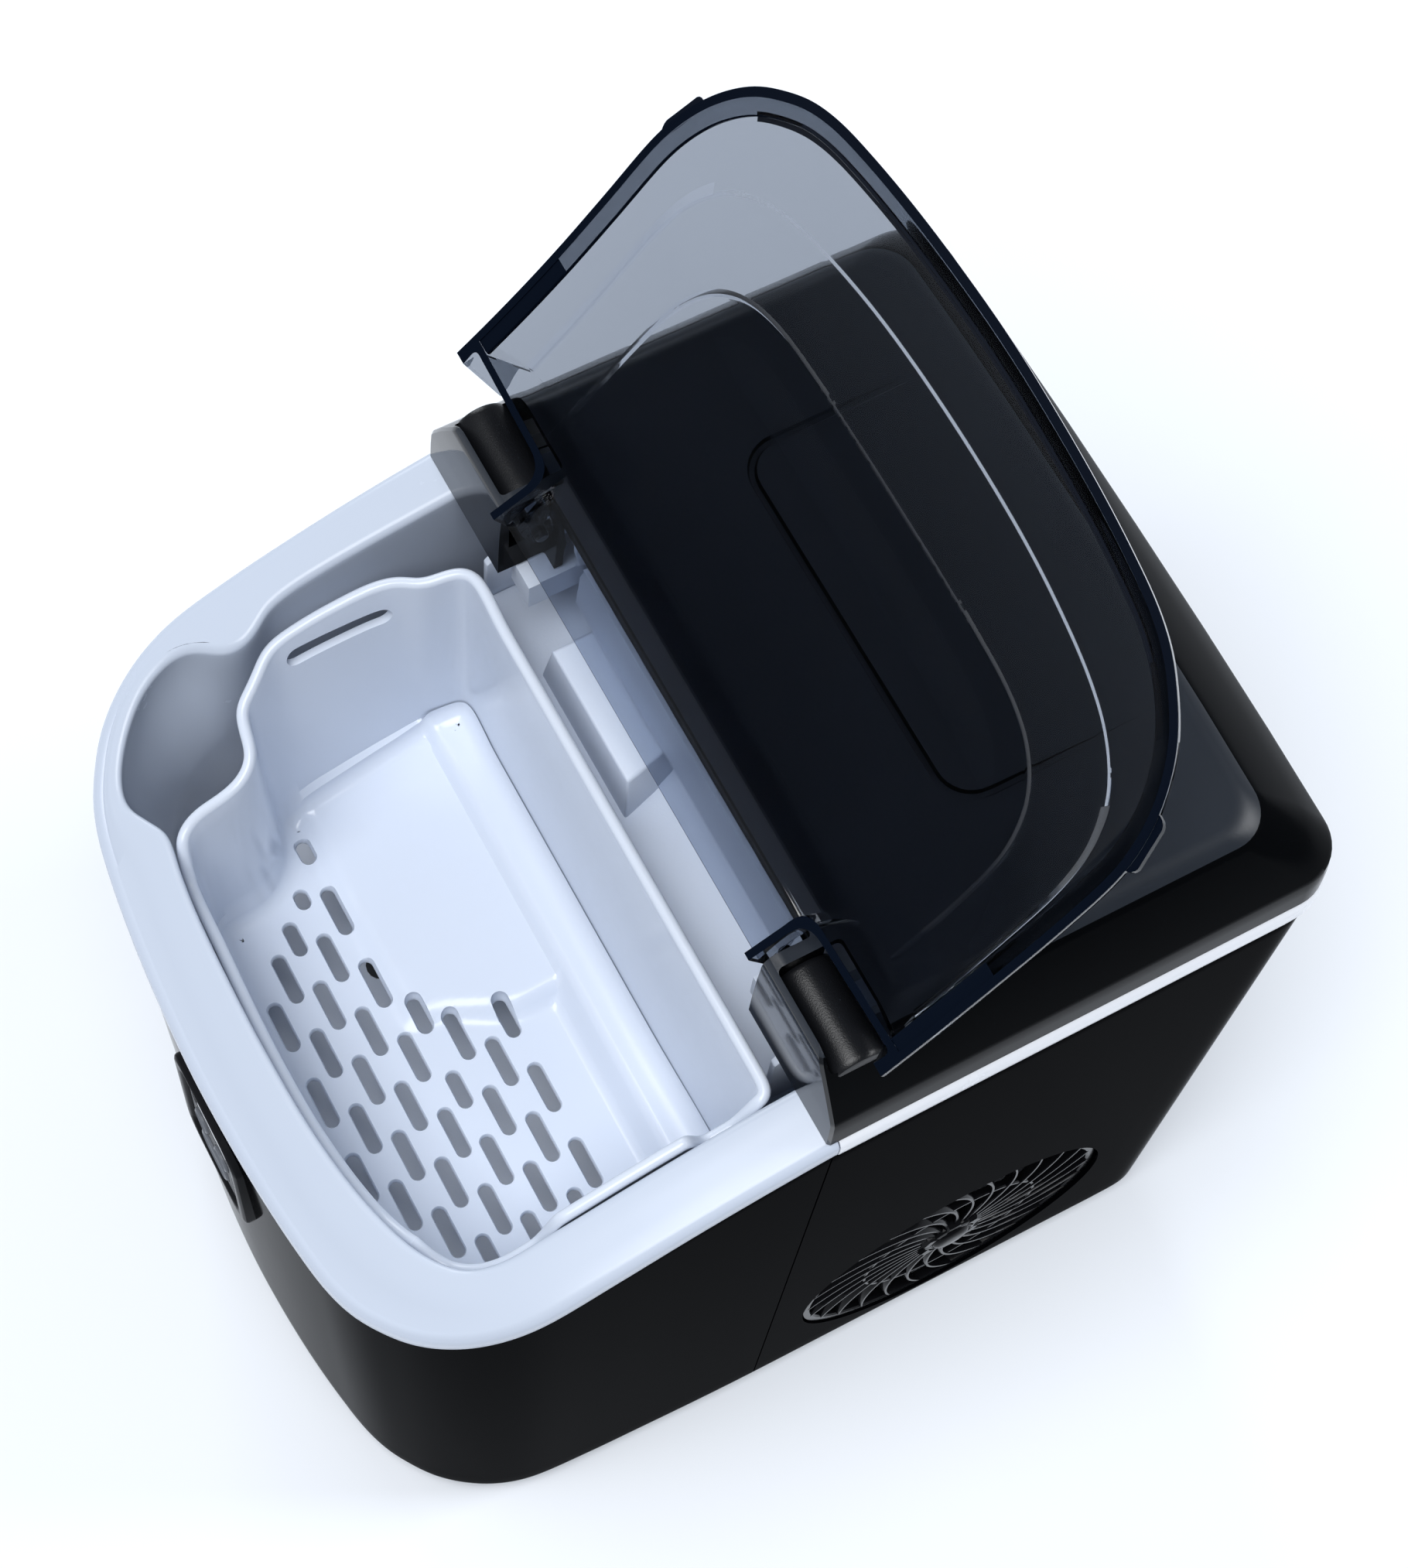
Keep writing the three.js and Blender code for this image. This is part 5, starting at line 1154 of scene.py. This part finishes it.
def make_panel():
    L = [(20.5, -153.5, -90.5, 10.0, -122.5), (20.5, -153.5, -90.5, 10.0, -127.6), (20.2, -153.2, -90.8, 9.8, -128.3), (19.4, -152.4, -91.6, 9.1, -128.75), (18.2, -151.2, -92.8, 8.2, -128.9),
         (16.2, -149.2, -94.8, 7.2, -128.75), (15.4, -148.4, -95.6, 6.7, -128.35), (14.8, -147.8, -96.2, 6.3, -127.7), (14.6, -147.6, -96.4, 6.2, -126.4), (14.6, -147.6, -96.4, 6.2, -122.5)]
    o = y_rows(L + [L[0]], MAT["bezel"], "panel_bezel_skin", caps=(False, False))
    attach(o, "housing"); hide(o, "panel_bezel")
    # face plate, dished slightly, with its openings
    face = y_rows([(14.1, -147.1, -96.9, 5.7, -126.0), (14.1, -147.1, -96.9, 5.7, -127.4), (13.7, -146.7, -97.3, 5.4, -127.7), (9.5, -142.0, -102.0, 4.0, -127.9)], MAT["face"], "panel_face_skin")
    cut = [prism("c", rrect(-11.35, 11.35, -112.35, -100.65, 2.1, 6), -140, -120, "y")]
    for x in (-6.4, 6.4):
        a = np.linspace(0, 2 * np.pi, 40, endpoint=False)
        cut.append(prism("c", np.column_stack([x + 4.6 * np.cos(a), -121.5 + 4.6 * np.sin(a)]), -140, -120, "y"))
    cut.append(prism("c", rrect(-9.0, 9.0, -141.6, -130.4, 5.5, 10), -140, -120, "y"))
    carve(face, cut)
    bevel(face, 0.22, 2, 40)
    shade(face, 32)
    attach(face, "housing"); hide(face, "panel_face")
    w = y_rows([(11.0, -112.0, -101.0, 1.9, -126.6), (11.0, -112.0, -101.0, 1.9, -127.8), (10.7, -111.7, -101.3, 1.7, -128.0), (6.0, -107.5, -105.5, 0.9, -128.1)], MAT["display"], "display_window_skin")
    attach(w, "housing"); hide(w, "display_window")
    for name, x in (("power_button", -6.4), ("size_button", 6.4)):
        b = lathe(name + "_skin", [(0, -127.35), (4.15, -127.35), (4.2, -128.0), (4.0, -128.5), (3.5, -128.75), (2.4, -126.6), (1.2, -128.35), (0, -128.4)], "y", (x, 0, -121.5), MAT["pill"], 40, name, 30)
        hide(b, name)
    c = y_rows([(8.6, -5.2, 5.2, 5.1, -127.3), (8.6, -5.2, 5.2, 5.1, -128.0), (8.3, -4.9, 4.9, 4.8, -128.5), (7.6, -4.2, 4.2, 4.1, -128.75), (5.6, -2.2, 2.2, 2.1, -126.6), (4.0, -0.8, 0.8, 0.75, -128.5)], MAT["pill"], "clean_button_skin", 0, -136.0)
    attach(c, "clean_button"); hide(c, "clean_button")
make_panel()

# ------------------------------------------------------------------ ice chute with its lit lining behind the basket
def make_chute():
    m = MAT["inner"]
    parts = []
    # floor that dips towards the basket, front wall and side cheeks
    parts.append(prism("c", [(0.5, -44), (2.4, -44), (2.4, -36.2), (14, -35.6), (30, -31.5), (46.4, -29.5), (46.4, -27.7), (30, -29.6), (14, -33.4), (2.2, -34.0), (0.9, -34.3), (0.5, -35.0)], -79.6, 79.6, "x", m))
    for a, b in ((-82, -79.6), (79.6, 82)):
        parts.append(prism("c", [(0.5, -44), (33, -44), (46.4, -30), (46.4, -14), (2.0, -14), (0.5, -15.5)], a, b, "x", m))
    # back and side lining under the cover
    parts.append(prism("c", [(44.6, -29.0), (46.4, -29.0), (46.4, 30.6), (44.6, 30.6)], -61, 61, "x", m))
    for s in (-1, 1):
        a, b = (61.0, 62.6) if s > 0 else (-62.6, -61.0)
        parts.append(prism("c", [(17.2, -0.6), (46.4, -0.6), (46.4, 30.6), (17.2, 30.6)], a, b, "x", m))
    for o in parts:
        bevel(o, 0.5, 2, 30)
    # block beside the outlet, with a slanted end
    lo = [(-52, 3.2), (-3.0, 3.2), (-8.5, 22), (-52, 22)]
    hi = [(-50.5, 5.2), (-6.5, 5.2), (-10.5, 21), (-50.5, 21)]
    rows = [np.column_stack([np.array(lo), np.full(4, -35.0)]), np.column_stack([np.array(lo), np.full(4, -34.0)]), np.column_stack([np.array(hi), np.full(4, -18.6)])]
    v, f = loft(rows)
    blk = make("c", v, f, m)
    bevel(blk, 1.4, 3, 20)
    parts.append(blk)
    o = merge("ice_chute_skin", parts, m)
    shade(o, 35)
    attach(o, "housing")
    hide(o, "ice_chute")
make_chute()



a, b = CAD_BOX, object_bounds()
